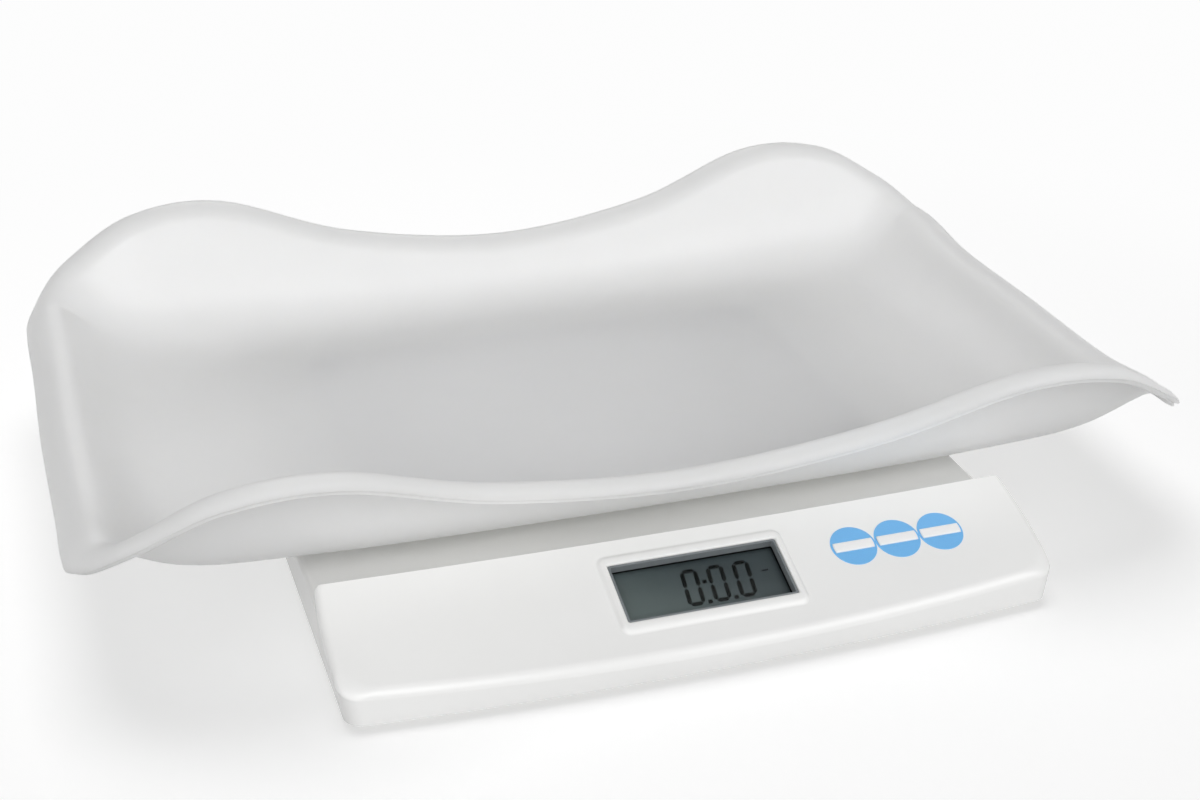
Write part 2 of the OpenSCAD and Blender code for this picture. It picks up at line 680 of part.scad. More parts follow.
module batteries() color("darkolivegreen") at_batteries() {
  rod_x(battery_dia / 2, battery_end_x, contact_x - button_len);
  rod_x(button_r, contact_x - button_len - eps, contact_x);
}
module battery_contacts() color("silver") at_batteries() for (side = [-1, 1])
  translate([side * (contact_x + contact_t / 2), 0, 0]) cube([contact_t, 11, 10], center = true);

// Cone-shaped coil springs at the flat ends of the batteries
spring_turns = 4;
spring_wire = 0.4;
spring_path = [for (k = [0:spring_turns * 10]) let(t = k / spring_turns / 10, a = 36 * k)
  [mix(-contact_x + spring_wire + 0.05, battery_end_x - spring_wire - 0.05, t),
    mix(4.2, 2.6, t) * cos(a), mix(4.2, 2.6, t) * sin(a)]];
module battery_springs() color("silver") at_batteries() wire(spring_path, spring_wire, 6);

grip_count = 4;
module battery_door() color("white") difference() {
  union() {
    translate([-door_half_x, bay_front - bay_wall, rim_z])
      cube([2 * door_half_x, back_y - bay_front + bay_wall, door_t]);
    translate([-tongue_half_x, bay_front, rim_z + door_t - tongue_t])
      cube([2 * tongue_half_x, bay_back - bay_front, tongue_t]);
  }
  for (i = [0:grip_count - 1]) translate([-12, back_y - 10 - 3 * i, rim_z - 1]) cube([24, 1.2, 1.5]);
}

// ---- Wiring -------------------------------------------------------------------------------
// A lead climbs into the foot of its plug under the circuit board
function plug_end(x) =
  let(deep = board_under - plug_h, c = cos(panel_tilt), s = sin(panel_tilt))
  [x, front_y + plug_s * c - deep * s, nose_z + plug_s * s + deep * c];
function plug_climb(x) = plug_end(x) - 4.5 * [0, -sin(panel_tilt), cos(panel_tilt)];
cable_r = 1.8;
cable_route = [
  [-cell_len / 2, tray_y, 18], [-50, tray_y, 18], [-60, tray_y - 10, 17], [-62, tray_y - 40, 14],
  [-58, front_y + 120, 10], [-44, front_y + 84, 9.5], [-32, front_y + 62, 10.5],
  plug_climb(lead_plug_x[0]), plug_end(lead_plug_x[0])
];
module cell_cable() color("gray") wire(route(cable_route, 4), cable_r, 8);

lead_r = 0.9;
lead_spread = 2.4;
function lead_route(d) = [
  [22 + d, bay_front - bay_wall, 16], [24 + d, bay_front - 10 + d, 15],
  [46 + d, bay_front - 26 + d, 11], [58 + d, tray_y, 9.5], [58 + d, front_y + 140, 9],
  [52 + d, front_y + 90, 9], [48 + d, front_y + 62, 10.5],
  plug_climb(lead_plug_x[1] + d), plug_end(lead_plug_x[1] + d)
];
module battery_leads() color("firebrick") for (d = [-lead_spread / 2, lead_spread / 2])
  wire(route(lead_route(d), 3), lead_r, 8);

tray();
platform();
platform_bracket();
platform_screws();
upper_spacer();
upper_cell_screws();
top_housing();
bottom_cover();
rubber_feet();
housing_screws();
display_bezel();
display_window();
lcd_panel();
lcd_digits();
lcd_holder();
contact_strips();
circuit_board();
board_parts();
board_screws();
key_label();
key_switches();
left_key();
middle_key();
right_key();
left_plunger();
middle_plunger();
right_plunger();
load_cell();
gauge_covers();
base_bracket();
bracket_screws();
lower_spacer();
lower_cell_screws();
batteries();
battery_springs();
battery_contacts();
battery_door();
cell_cable();
battery_leads();
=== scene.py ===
"""Looks of a digital baby weighing scale: a curved tray on a flat base with a sloped console.

Lengths are in metres; a name that ends in _MM holds millimetres. X runs across the scale, Y to its
back and Z up, and the origin is on the floor under the middle of the whole scale.
"""

import json
import math

import bmesh
import bpy
import numpy as np
from bpy.props import FloatProperty, FloatVectorProperty, PointerProperty
from bpy.types import Operator, Panel, PropertyGroup
from mathutils import Matrix, Vector


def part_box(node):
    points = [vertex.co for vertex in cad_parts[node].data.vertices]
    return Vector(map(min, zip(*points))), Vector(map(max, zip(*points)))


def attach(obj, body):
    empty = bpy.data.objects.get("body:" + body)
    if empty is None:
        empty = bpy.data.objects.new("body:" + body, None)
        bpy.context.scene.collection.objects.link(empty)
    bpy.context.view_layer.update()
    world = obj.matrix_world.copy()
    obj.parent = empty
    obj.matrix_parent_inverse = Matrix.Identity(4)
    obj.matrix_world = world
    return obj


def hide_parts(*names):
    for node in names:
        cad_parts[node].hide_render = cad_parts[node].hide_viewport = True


bl_info = {
    "name": "Baby Weighing Scale",
    "version": (1, 0, 0),
    "blender": (4, 5, 0),
    "location": "3D View > Sidebar > Scale",
    "description": "Builds a digital baby weighing scale round its construction model",
    "category": "Add Mesh",
}

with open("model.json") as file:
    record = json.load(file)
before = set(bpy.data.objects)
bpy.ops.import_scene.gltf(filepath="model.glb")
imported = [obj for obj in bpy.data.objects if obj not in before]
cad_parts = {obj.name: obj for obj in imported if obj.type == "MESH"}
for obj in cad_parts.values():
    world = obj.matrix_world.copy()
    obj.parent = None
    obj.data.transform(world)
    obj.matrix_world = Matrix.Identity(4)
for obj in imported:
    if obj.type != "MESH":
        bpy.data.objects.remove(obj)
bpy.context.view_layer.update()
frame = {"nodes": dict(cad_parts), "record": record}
MM = 0.001


def linear(hex_colour):
    """Turn an sRGB hex colour such as #F2F2F0 into the linear values that Blender mixes."""
    channels = [int(hex_colour[i:i + 2], 16) / 255 for i in (1, 3, 5)]
    return [c / 12.92 if c <= 0.04045 else ((c + 0.055) / 1.055) ** 2.4 for c in channels]


def length(name, description, millimetres):
    """A length property, whose default is given in millimetres."""
    return FloatProperty(name=name, description=description, default=millimetres * MM,
                         unit="LENGTH", precision=4)


def angle(name, description, degrees):
    """An angle property, whose default is given in degrees."""
    return FloatProperty(name=name, description=description, default=math.radians(degrees),
                         subtype="ANGLE")


def colour(name, description, hex_colour):
    """A colour property, whose default is given as sRGB hex."""
    return FloatVectorProperty(name=name, description=description, default=linear(hex_colour),
                               subtype="COLOR", size=3, min=0, max=1)


# ---- Sizes and colours ------------------------------------------------------------------------
class TraySizes(PropertyGroup):
    """Sizes of the tray that the baby lies in."""
    floor_height: length("Floor height", "Height of the inner floor above the table", 41)
    wall: length("Wall", "Thickness of the moulded tray", 3)
    floor_half_x: length("Half floor length", "Half the length of the flat floor", 195)
    floor_half_y: length("Half floor depth", "Half the depth of the flat floor", 103)
    side_angle: angle("Side angle", "Steepness of the long walls at their top", 60)
    end_angle: angle("End angle", "Steepness of the end walls at their top", 36)
    lip_radius: length("Lip radius", "Radius of the rolled lip", 14)
    side_lip: length("Side lip", "Reach of the lip past the crest on the long sides", 9)
    end_lip: length("End lip", "Reach of the lip past the crest at the ends", 13.8)
    peg_radius: length("Peg radius", "Radius of the locating pegs under the tray", 7)
    peg_height: length("Peg height", "How far the pegs reach down", 6)


class HousingSizes(PropertyGroup):
    """Sizes of the base's upper shell."""
    width: length("Width", "Width of the base at its corners", 343)
    console_depth: length("Console depth", "Depth of the sloped console", 68)
    deck_height: length("Deck height", "Height of the flat deck behind the console", 28)
    nose_height: length("Nose height", "Height where the front face meets the panel", 17)
    rim_height: length("Rim height", "Height of the lower edge above the table", 3.5)
    panel_tilt: angle("Panel tilt", "Slope of the control panel", 19.9)
    wall: length("Wall", "Wall thickness", 2.5)
    front_bow: length("Front bow", "How far the front edge is bowed", 9.5)
    back_bow: length("Back bow", "How far the console's back edge is bowed", 2)
    side_bow: length("Side bow", "How far the console's ends swell", 2.5)
    corner_radius: length("Corner radius", "Radius of the front corners at the foot", 9)
    panel_corner_radius: length("Panel corner radius", "Radius of the panel's front corners", 20)
    edge_height: length("Edge height", "Height of the rounded edge round the panel", 4)
    end_edge: length("End edge", "Width of the rounded edge at the panel's ends", 4.5)
    deck_edge: length("Deck edge", "Radius of the deck's edge", 3)
    surround_rise: length("Surround rise", "How far the display's surround stands proud", 1.6)
    surround_side: length("Surround side", "Width of the surround beside the display", 4.5)
    surround_end: length("Surround end", "Width of the surround above and below", 6.5)


class DisplaySizes(PropertyGroup):
    """Sizes of the liquid-crystal display."""
    centre_x: length("Centre", "Place of the display across the panel", 1.5)
    centre_s: length("Height on the panel", "Middle of the display up the slope", 37.2)
    width: length("Width", "Width of the opening", 83.4)
    height: length("Height", "Height of the opening along the slope", 33)
    bezel: length("Bezel", "Thickness of the bezel's rim", 1.2)
    digit_height: length("Digit height", "Height of a digit", 21)
    digit_width: length("Digit width", "Width of a digit", 8.6)
    digit_pitch: length("Digit pitch", "From one digit to the next", 12.9)
    stroke: length("Stroke", "Width of a digit's segment", 2.1)


class KeySizes(PropertyGroup):
    """Sizes of the three keys and their printed discs."""
    first_x: length("First key", "Place of the first key across the panel", 79.8)
    pitch: length("Pitch", "From one key to the next", 22.9)
    height_on_panel: length("Height on the panel", "Place of the keys up the slope", 42.3)
    bar_length: length("Bar length", "Length of a key", 20.6)
    bar_width: length("Bar width", "Width of a key", 5.4)
    rise: length("Rise", "How far a key stands proud of the panel", 1)
    disc_radius: length("Disc radius", "Radius of the printed disc round a key", 11.4)


class Finishes(PropertyGroup):
    """Colours of the visible materials."""
    tray: colour("Tray", "White of the tray", "#F1F1F0")
    housing: colour("Housing", "White of the base", "#F1F1F0")
    platform: colour("Platform", "Off-white of the platform under the tray", "#E2E2DC")
    cover: colour("Cover", "Off-white of the bottom cover and the battery door", "#E9E9E5")
    bezel: colour("Bezel", "Silver-grey of the bezel", "#7C8184")
    # The lighter display colour is a painted reflection, strongest at the glass's lower left
    display_painted_reflection: colour("Display, light", "Display glass where it is lightest", "#5E6867")
    display_dark: colour("Display, dark", "Display glass where it is darkest", "#3B4346")
    digits: colour("Digits", "Switched-on segments", "#060808")
    label: colour("Label", "Blue of the discs round the keys", "#76BAF0")
    key: colour("Keys", "White of the keys", "#F4F4F4")


GROUPS = {
    "scale_tray": TraySizes,
    "scale_housing": HousingSizes,
    "scale_display": DisplaySizes,
    "scale_keys": KeySizes,
    "scale_finishes": Finishes,
}

# ---- Places, from the frame -------------------------------------------------------------------
FRONT_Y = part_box("top_housing")[0].y
BACK_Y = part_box("top_housing")[1].y
TRAY_Y = (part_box("tray")[0].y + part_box("tray")[1].y) / 2
# A cutting tool reaches this far to both sides of the panel
CUT = 8 * MM


def panel_place(x=0, s=0, out=0):
    """Placement on the sloped panel: x across it, s up its slope and out square to it."""
    sizes = bpy.context.scene.scale_housing
    return (Matrix.Translation((0, FRONT_Y, sizes.nose_height))
            @ Matrix.Rotation(sizes.panel_tilt, 4, "X") @ Matrix.Translation((x, s, out)))


# ---- Mesh tools -------------------------------------------------------------------------------
def new_object(name, points, faces, place=Matrix.Identity(4)):
    """A mesh object with its place in its vertices."""
    mesh = bpy.data.meshes.new(name)
    mesh.from_pydata([place @ Vector(p) for p in points], [], faces)
    mesh.update()
    obj = bpy.data.objects.new(name, mesh)
    bpy.context.scene.collection.objects.link(obj)
    return obj


def loft(name, rings, place=Matrix.Identity(4)):
    """A closed solid through rings of equally many points. A ring of one point closes an end."""
    points, starts = [], []
    for ring in rings:
        starts.append((len(points), len(ring)))
        points += ring
    faces = []
    for (a, na), (b, nb) in zip(starts, starts[1:]):
        n = max(na, nb)
        for j in range(n):
            k = (j + 1) % n
            if na == 1:
                faces.append((a, b + k, b + j))
            elif nb == 1:
                faces.append((a + j, a + k, b))
            else:
                faces.append((a + j, a + k, b + k, b + j))
    first, last = starts[0], starts[-1]
    if first[1] > 1:
        faces.append(tuple(first[0] + j for j in reversed(range(first[1]))))
    if last[1] > 1:
        faces.append(tuple(last[0] + j for j in range(last[1])))
    return new_object(name, points, faces, place)


def hoop(name, rings, place=Matrix.Identity(4)):
    """A closed hoop through rings of equally many points, which comes back to its first ring."""
    rows, n = len(rings), len(rings[0])
    pairs = [(i * n, (i + 1) % rows * n) for i in range(rows)]
    faces = [(a + j, a + (j + 1) % n, b + (j + 1) % n, b + j) for a, b in pairs for j in range(n)]
    return new_object(name, [p for ring in rings for p in ring], faces, place)


def ring_at(outline, z):
    """A flat outline, as points at one height."""
    return [(x, y, z) for x, y in outline]


def prism(name, outline, z0, z1, place=Matrix.Identity(4)):
    """A straight solid over a flat outline."""
    return loft(name, [ring_at(outline, z0), ring_at(outline, z1)], place)


def turned(name, profile, place=Matrix.Identity(4), steps=96):
    """A solid turned from a profile of (radius, height) points, bottom first."""
    turns = [2 * math.pi * j / steps for j in range(steps)]
    rings = [[(0, 0, z)] if r == 0 else [(r * math.cos(t), r * math.sin(t), z) for t in turns]
             for r, z in profile]
    return loft(name, rings, place)


def arc(x, y, r, start, steps):
    """A quarter turn of points, anticlockwise from a start angle in degrees."""
    turns = [math.radians(start + 90 * k / steps) for k in range(steps + 1)]
    return [(x + r * math.cos(t), y + r * math.sin(t)) for t in turns]


def rounded_rect(width, height, r, steps=8):
    """Outline of a rectangle with round corners."""
    x, y = width / 2 - r, height / 2 - r
    corners = ((x, y, 0), (-x, y, 90), (-x, -y, 180), (x, -y, 270))
    return [point for cx, cy, start in corners for point in arc(cx, cy, r, start, steps)]


def bar_outline(radius, width, steps=10):
    """Outline of a bar across a disc, whose ends lie on the disc's circle."""
    half = math.asin(width / 2 / radius)
    ends = [half * (2 * k / steps - 1) for k in range(steps + 1)]
    return ([(radius * math.cos(t), radius * math.sin(t)) for t in ends]
            + [(-radius * math.cos(t), -radius * math.sin(t)) for t in ends])


def join(name, parts):
    """Put several mesh objects together as one, and delete them."""
    whole = bmesh.new()
    for part in parts:
        whole.from_mesh(part.data)
        bpy.data.objects.remove(part)
    mesh = bpy.data.meshes.new(name)
    whole.to_mesh(mesh)
    whole.free()
    obj = bpy.data.objects.new(name, mesh)
    bpy.context.scene.collection.objects.link(obj)
    return obj


def combine(obj, tool, operation="DIFFERENCE"):
    """Cut a tool from an object, or weld it on, and delete the tool."""
    modifier = obj.modifiers.new("combine", "BOOLEAN")
    modifier.object = tool
    modifier.operation = operation
    modifier.solver = "EXACT"
    mesh = bpy.data.meshes.new_from_object(
        obj.evaluated_get(bpy.context.evaluated_depsgraph_get()))
    obj.modifiers.clear()
    obj.data = mesh
    bpy.data.objects.remove(tool)
    return obj


def smooth(obj, sharp_degrees=35):
    """Shade smoothly, keep crisp edges crisp and keep flat faces flat."""
    mesh = obj.data
    mesh.shade_smooth()
    mesh.set_sharp_from_angle(angle=math.radians(sharp_degrees))
    modifier = obj.modifiers.new("weighted", "WEIGHTED_NORMAL")
    modifier.keep_sharp = True
    modifier.weight = 80
    obj.data = bpy.data.meshes.new_from_object(
        obj.evaluated_get(bpy.context.evaluated_depsgraph_get()))
    obj.modifiers.clear()
    return obj


def place_piece(obj, body, slot, *nodes):
    """Give a finished piece its material and body, in the stead of the nodes that it replaces."""
    obj.data.materials.clear()
    obj.data.materials.append(MATERIALS[slot])
    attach(obj, body)
    if nodes:
        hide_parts(*nodes)
    return obj


# ---- Materials --------------------------------------------------------------------------------
# Noise gathers round its middle, so a pattern is spread softly between these two levels
LOW, HIGH = 0.2, 0.8
# Where a battery's sleeve changes colour
SLEEVE_BAND_X = 14 * MM


def add(tree, kind, values=(), **settings):
    """Add a shader node, with its settings, and its inputs as plain values or linked sockets."""
    node = tree.nodes.new("ShaderNode" + kind)
    for name, value in settings.items():
        setattr(node, name, value)
    for name, value in dict(values).items():
        if isinstance(value, bpy.types.NodeSocket):
            tree.links.new(value, node.inputs[name])
        else:
            node.inputs[name].default_value = value
    return node


def new_material(name):
    """An empty node material, and the coordinates of the row frame in metres."""
    material = bpy.data.materials.get(name)
    if material:
        bpy.data.materials.remove(material)
    material = bpy.data.materials.new(name)
    material.use_nodes = True
    tree = material.node_tree
    tree.nodes.clear()
    return material, tree, add(tree, "TexCoord").outputs["Object"]


def tinted(base, share):
    """A colour made lighter or darker by a share of itself."""
    return [min(1.0, c * share) for c in base]


def grained(name, patterns, colours, roughness, relief, values, stretch=None):
    """A finish whose colour, roughness and relief each follow one of its patterns.

    Each pattern has a size in millimetres and a detail. colours is (pattern, dark, light),
    roughness is (pattern, least, most), relief lists (pattern, depth in mm), and values go
    straight to the surface. stretch draws the patterns out into strokes.
    """
    material, tree, place = new_material(name)
    if stretch:
        place = add(tree, "Mapping", {"Vector": place, "Scale": stretch}).outputs[0]
    grain = {}
    for pattern, (size_mm, detail) in patterns.items():
        grain[pattern] = add(tree, "TexNoise", {
            "Vector": place, "Scale": 1 / (size_mm * MM), "Detail": detail}).outputs["Fac"]
    tone = add(tree, "MapRange", {"Value": grain[colours[0]], "From Min": LOW, "From Max": HIGH},
               interpolation_type="SMOOTHSTEP")
    shade = add(tree, "Mix", {0: tone.outputs[0], 6: (*colours[1], 1), 7: (*colours[2], 1)},
                data_type="RGBA")
    gloss = add(tree, "MapRange", {"Value": grain[roughness[0]], "From Min": LOW, "From Max": HIGH,
                                   "To Min": roughness[1], "To Max": roughness[2]},
                interpolation_type="SMOOTHSTEP")
    below = {}
    for pattern, depth_mm in relief:
        bump = add(tree, "Bump", {"Height": grain[pattern], "Distance": depth_mm * MM,
                                  "Strength": 1.0, **below})
        below = {"Normal": bump.outputs["Normal"]}
    surface = add(tree, "BsdfPrincipled", {"Base Color": shade.outputs[2],
                                           "Roughness": gloss.outputs[0], **below, **values})
    add(tree, "OutputMaterial", {"Surface": surface.outputs[0]})
    return material


def moulded_plastic(name, base, roughness, grain_mm, grain_depth_mm, glow=0.0, spread=0.04):
    """Injection-moulded plastic: an even colour, a soft gloss that varies a little where the melt
    flowed, faint waves where it sank, and light that soaks a few millimetres into thin walls.
    The mould's grain is about 0.1 mm across, too fine to show, so it is drawn coarser."""
    return grained(
        name, {"flow": (60, 3), "wave": (35, 1), "grain": (grain_mm, 4)},
        ("flow", tinted(base, 0.985), tinted(base, 1.01)),
        ("flow", roughness - spread, roughness + spread),
        (("wave", 0.05), ("grain", grain_depth_mm)),
        {"IOR": 1.53, "Subsurface Weight": glow, "Subsurface Radius": (1.0, 0.98, 0.93),
         "Subsurface Scale": 12 * MM})


def worked_metal(name, base, roughness, marks_mm=1.5, stretch=None):
    """Plated or milled metal: a clean reflection, broken up by crystal or tool marks. Real ones are
    0.1 to 0.3 mm across, too fine to show, so they are drawn coarser."""
    return grained(
        name, {"marks": (marks_mm, 4)}, ("marks", tinted(base, 0.9), tinted(base, 1.06)),
        ("marks", roughness - 0.08, roughness + 0.08), (("marks", 0.01),), {"Metallic": 1.0}, stretch)


def matt_rubber(name, base, grain_mm=0.8, roughness=0.75):
    """Moulded rubber or an extruded jacket: matt and slightly mottled, with a sandy grain. That
    grain is about 0.2 mm across, too fine to show, so it is drawn coarser."""
    return grained(
        name, {"mottle": (6, 3), "grain": (grain_mm, 4)},
        ("mottle", tinted(base, 0.8), tinted(base, 1.15)),
        ("grain", roughness - 0.1, roughness + 0.1), (("grain", 0.03),), {"IOR": 1.5})


def sprayed_silver(name, base):
    """ABS sprayed silver-grey: a satin film in which flakes glint. A flake is about 0.03 mm across,
    too fine to show, so they are drawn 0.35 mm across."""
    return grained(
        name, {"flakes": (0.35, 2), "cloud": (12, 2)},
        ("flakes", tinted(base, 0.93), tinted(base, 1.05)), ("cloud", 0.28, 0.4),
        (("flakes", 0.004),), {"Metallic": 0.35})


def printed_film(name, base, gloss=0.3):
    """Screen-printed polyester film: even ink under a smooth face with a soft gloss. The mesh of
    the screen leaves dots of 0.1 mm, too fine to show, so they are drawn 0.4 mm across."""
    return grained(
        name, {"ink": (0.4, 3), "cloud": (9, 2)}, ("ink", tinted(base, 0.96), tinted(base, 1.03)),
        ("cloud", 0.3, 0.36), (("ink", 0.003),), {"IOR": 1.57, "Specular IOR Level": gloss})


def clear_pane(name):
    """Cast acrylic, polished: what lies behind shows through, under a faint mirror image that
    strengthens towards grazing views."""
    material, tree, place = new_material(name)
    wave = add(tree, "TexNoise", {"Vector": place, "Scale": 1 / (18 * MM), "Detail": 1.0})
    normal = add(tree, "Bump", {"Height": wave.outputs["Fac"], "Distance": 0.02 * MM,
                                "Strength": 1.0}).outputs["Normal"]
    # An IOR under acrylic's 1.49 keeps the veil over the display as faint as a coated pane's
    edge = add(tree, "Fresnel", {"IOR": 1.16, "Normal": normal})
    face = add(tree, "BsdfPrincipled", {"Base Color": (*linear("#F4F6F6"), 1), "Roughness": 0.06,
                                        "Metallic": 1.0, "Normal": normal})
    through = add(tree, "BsdfTransparent", {"Color": (*linear("#FCFDFD"), 1)})
    mix = add(tree, "MixShader", {0: edge.outputs[0], 1: through.outputs[0], 2: face.outputs[0]})
    add(tree, "OutputMaterial", {"Surface": mix.outputs[0]})
    return material


def display_film(name, dark, light):
    """Polariser film over liquid-crystal glass: grey-green, with a painted reflection that lightens
    it towards its lower left, and a fine reflector grain behind it. That grain is about 0.05 mm
    across, too fine to show, so it is drawn 0.5 mm across."""
    material, tree, place = new_material(name)
    low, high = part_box("lcd_panel")
    parts = add(tree, "SeparateXYZ", {"Vector": place}).outputs
    # Painted reflection: the glass is drawn lighter towards its lower left and darker towards its
    # upper right
    across = add(tree, "MapRange", {"Value": parts["X"], "From Min": low.x, "From Max": high.x})
    up = add(tree, "MapRange", {"Value": parts["Z"], "From Min": low.z, "From Max": high.z})
    lean = add(tree, "Math", {0: across.outputs[0], 1: up.outputs[0]}, operation="ADD")
    grain = add(tree, "TexNoise", {"Vector": place, "Scale": 1 / (0.5 * MM),
                                   "Detail": 3.0}).outputs["Fac"]
    speckle = add(tree, "MapRange", {"Value": grain, "From Min": LOW, "From Max": HIGH,
                                     "To Min": -0.04, "To Max": 0.04},
                  interpolation_type="SMOOTHSTEP")
    sum_of = add(tree, "Math", {0: lean.outputs[0], 1: speckle.outputs[0]}, operation="ADD")
    tone = add(tree, "MapRange", {"Value": sum_of.outputs[0], "From Min": 0.35, "From Max": 1.5},
               interpolation_type="SMOOTHSTEP")
    shade = add(tree, "Mix", {0: tone.outputs[0], 6: (*light, 1), 7: (*dark, 1)}, data_type="RGBA")
    gloss = add(tree, "MapRange", {"Value": grain, "From Min": LOW, "From Max": HIGH,
                                   "To Min": 0.4, "To Max": 0.48},
                interpolation_type="SMOOTHSTEP")
    relief = add(tree, "Bump", {"Height": grain, "Distance": 0.002 * MM, "Strength": 1.0})
    surface = add(tree, "BsdfPrincipled", {
        "Base Color": shade.outputs[2], "Roughness": gloss.outputs[0], "IOR": 1.5,
        "Specular IOR Level": 0.2, "Normal": relief.outputs["Normal"]})
    add(tree, "OutputMaterial", {"Surface": surface.outputs[0]})
    return material


def circuit_laminate(name, base):
    """Woven glass fibre under green solder mask: the copper shows as paler fields, a hair proud.
    The weave is about 0.5 mm across, too fine to show, so it is drawn 4 mm across."""
    material, tree, place = new_material(name)
    weave = add(tree, "TexWave", {"Vector": place, "Scale": 1 / (4 * MM), "Distortion": 1.0},
                wave_type="BANDS", bands_direction="DIAGONAL").outputs["Fac"]
    copper = add(tree, "TexVoronoi", {"Vector": place, "Scale": 1 / (7 * MM)},
                 distance="MANHATTAN").outputs["Distance"]
    traces = add(tree, "MapRange", {"Value": copper, "From Min": 0.28, "From Max": 0.33},
                 interpolation_type="SMOOTHSTEP").outputs["Result"]
    shade = add(tree, "Mix", {0: traces, 6: (*tinted(base, 1.5), 1), 7: (*base, 1)},
                data_type="RGBA")
    gloss = add(tree, "MapRange", {"Value": weave, "To Min": 0.3, "To Max": 0.42},
                interpolation_type="SMOOTHSTEP")
    below = add(tree, "Bump", {"Height": weave, "Distance": 0.01 * MM, "Strength": 1.0})
    relief = add(tree, "Bump", {"Height": traces, "Distance": 0.03 * MM, "Strength": 1.0,
                                "Normal": below.outputs["Normal"]})
    surface = add(tree, "BsdfPrincipled", {
        "Base Color": shade.outputs[2], "Roughness": gloss.outputs[0], "IOR": 1.52,
        "Normal": relief.outputs["Normal"]})
    add(tree, "OutputMaterial", {"Surface": surface.outputs[0]})
    return material


def battery_sleeve(name, base, band):
    """Lacquered steel can of a dry cell: a glossy dark sleeve with a band of another colour, and
    a printed grain drawn 0.5 mm across, since the real one is too fine to show."""
    material, tree, place = new_material(name)
    x = add(tree, "SeparateXYZ", {"Vector": place}).outputs["X"]
    past = add(tree, "Math", {0: x, 1: SLEEVE_BAND_X}, operation="GREATER_THAN")
    shade = add(tree, "Mix", {0: past.outputs[0], 6: (*base, 1), 7: (*band, 1)}, data_type="RGBA")
    grain = add(tree, "TexNoise", {"Vector": place, "Scale": 1 / (0.5 * MM),
                                   "Detail": 3.0}).outputs["Fac"]
    gloss = add(tree, "MapRange", {"Value": grain, "From Min": LOW, "From Max": HIGH,
                                   "To Min": 0.22, "To Max": 0.32},
                interpolation_type="SMOOTHSTEP")
    relief = add(tree, "Bump", {"Height": grain, "Distance": 0.004 * MM, "Strength": 1.0})
    surface = add(tree, "BsdfPrincipled", {
        "Base Color": shade.outputs[2], "Roughness": gloss.outputs[0], "Metallic": 0.4,
        "Coat Weight": 0.5, "Normal": relief.outputs["Normal"]})
    add(tree, "OutputMaterial", {"Surface": surface.outputs[0]})
    return material


def make_materials(finishes):
    """Every material of the scale, by its slot in the record."""
    return {
        # ABS from a lightly blasted mould: milky, with broad soft highlights. Its thin walls glow
        "tray_plastic": moulded_plastic("abs_moulded_tray", finishes.tray, 0.36, 0.9, 0.006,
                                        glow=0.8),
        # ABS from a smoother mould: tighter highlights along the console's edges
        "housing_plastic": moulded_plastic("abs_moulded_housing", finishes.housing, 0.23, 0.8, 0.004,
                                           spread=0.03),
        "key_plastic": moulded_plastic("abs_moulded_key", finishes.key, 0.36, 0.6, 0.004),
        # ABS from spark-eroded moulds: matt and sandy, as hidden faces are left
        "platform_plastic": moulded_plastic("abs_textured_platform", finishes.platform, 0.5, 0.7,
                                            0.03),
        "cover_plastic": moulded_plastic("abs_textured_cover", finishes.cover, 0.52, 0.7, 0.035),
        "bezel_plastic": sprayed_silver("abs_silver_sprayed", finishes.bezel),
        "clear_window": clear_pane("acrylic_clear_window"),
        # Display glass with a painted reflection that lightens its lower left
        "lcd_glass": display_film("polariser_display_film", finishes.display_dark,
                                  finishes.display_painted_reflection),
        # Liquid crystal that is switched on takes the light and gives no gloss of its own
        "digit_black": printed_film("liquid_crystal_segment", finishes.digits, 0.02),
        "label_blue": printed_film("polyester_printed_film", finishes.label),
        # Glass-filled nylon and acetal: dark, with a dull sheen
        "dark_plastic": moulded_plastic("nylon_moulded_black", linear("#222224"), 0.45, 0.5, 0.01),
        "plunger_plastic": moulded_plastic("acetal_moulded_plunger", linear("#2C2C2E"), 0.4, 0.5,
                                           0.01),
        "foot_rubber": matt_rubber("rubber_moulded_foot", linear("#2B2B2D")),
        "contact_rubber": matt_rubber("silicone_conductive_strip", linear("#D9949B"), 0.5, 0.6),
        "gauge_silicone": matt_rubber("silicone_poured_cover", linear("#EDEDE6"), 2.0, 0.45),
        "cable_grey": matt_rubber("vinyl_extruded_jacket", linear("#8C8E91"), 0.6, 0.5),
        "lead_red": matt_rubber("vinyl_extruded_insulation", linear("#A5211D"), 0.6, 0.45),
        "board_green": circuit_laminate("fibreglass_solder_mask", linear("#1C6B3C")),
        # Milled aluminium carries the cutter's strokes along its length
        "cell_aluminium": worked_metal("aluminium_milled", linear("#C9CBCD"), 0.34, 0.5,
                                       (0.06, 1, 1)),
        "plated_steel": worked_metal("steel_zinc_plated", linear("#BFC1C3"), 0.32),
        "screw_steel": worked_metal("steel_zinc_screw", linear("#A6A8AB"), 0.28),
        "spring_steel": worked_metal("steel_nickel_plated", linear("#C6C4BE"), 0.2),
        "battery_case": battery_sleeve("steel_printed_sleeve", linear("#26302A"),
                                       linear("#B5773F")),
    }


# ---- Tray -------------------------------------------------------------------------------------
# Crest of the rim over one quarter of the tray, from the middle of its end to the middle of its
# long side: low ends, a soft corner and a high hump beside it
RIM_QUARTER_MM = (
    (264, 0, 65), (263, 75, 65.5), (263, 118, 70.5), (260, 137, 73), (245, 156, 87),
    (211, 165.5, 105), (162, 167, 107.5), (91, 157.5, 85.5), (0, 153, 75),
)
RIM_HALF_MM = (266.5, 160)
# How finely the mesh follows the rim, the wall, the lip and the rounded edge
RIM_STEPS = 12
WALL_ROWS = 26
LIP_ROWS = 14
EDGE_ROWS = 6
# Share of the wall's run over which its foot stays low, and the pull at its top end
FOOT_PULL = 0.74
TOP_PULL = 0.45
# The flat floor is a superellipse of this power
FLOOR_POWER = 4
# The lip's turn stops this much short of its reach, which leaves room for the rounded edge
EDGE_TUCK = math.radians(1.3)
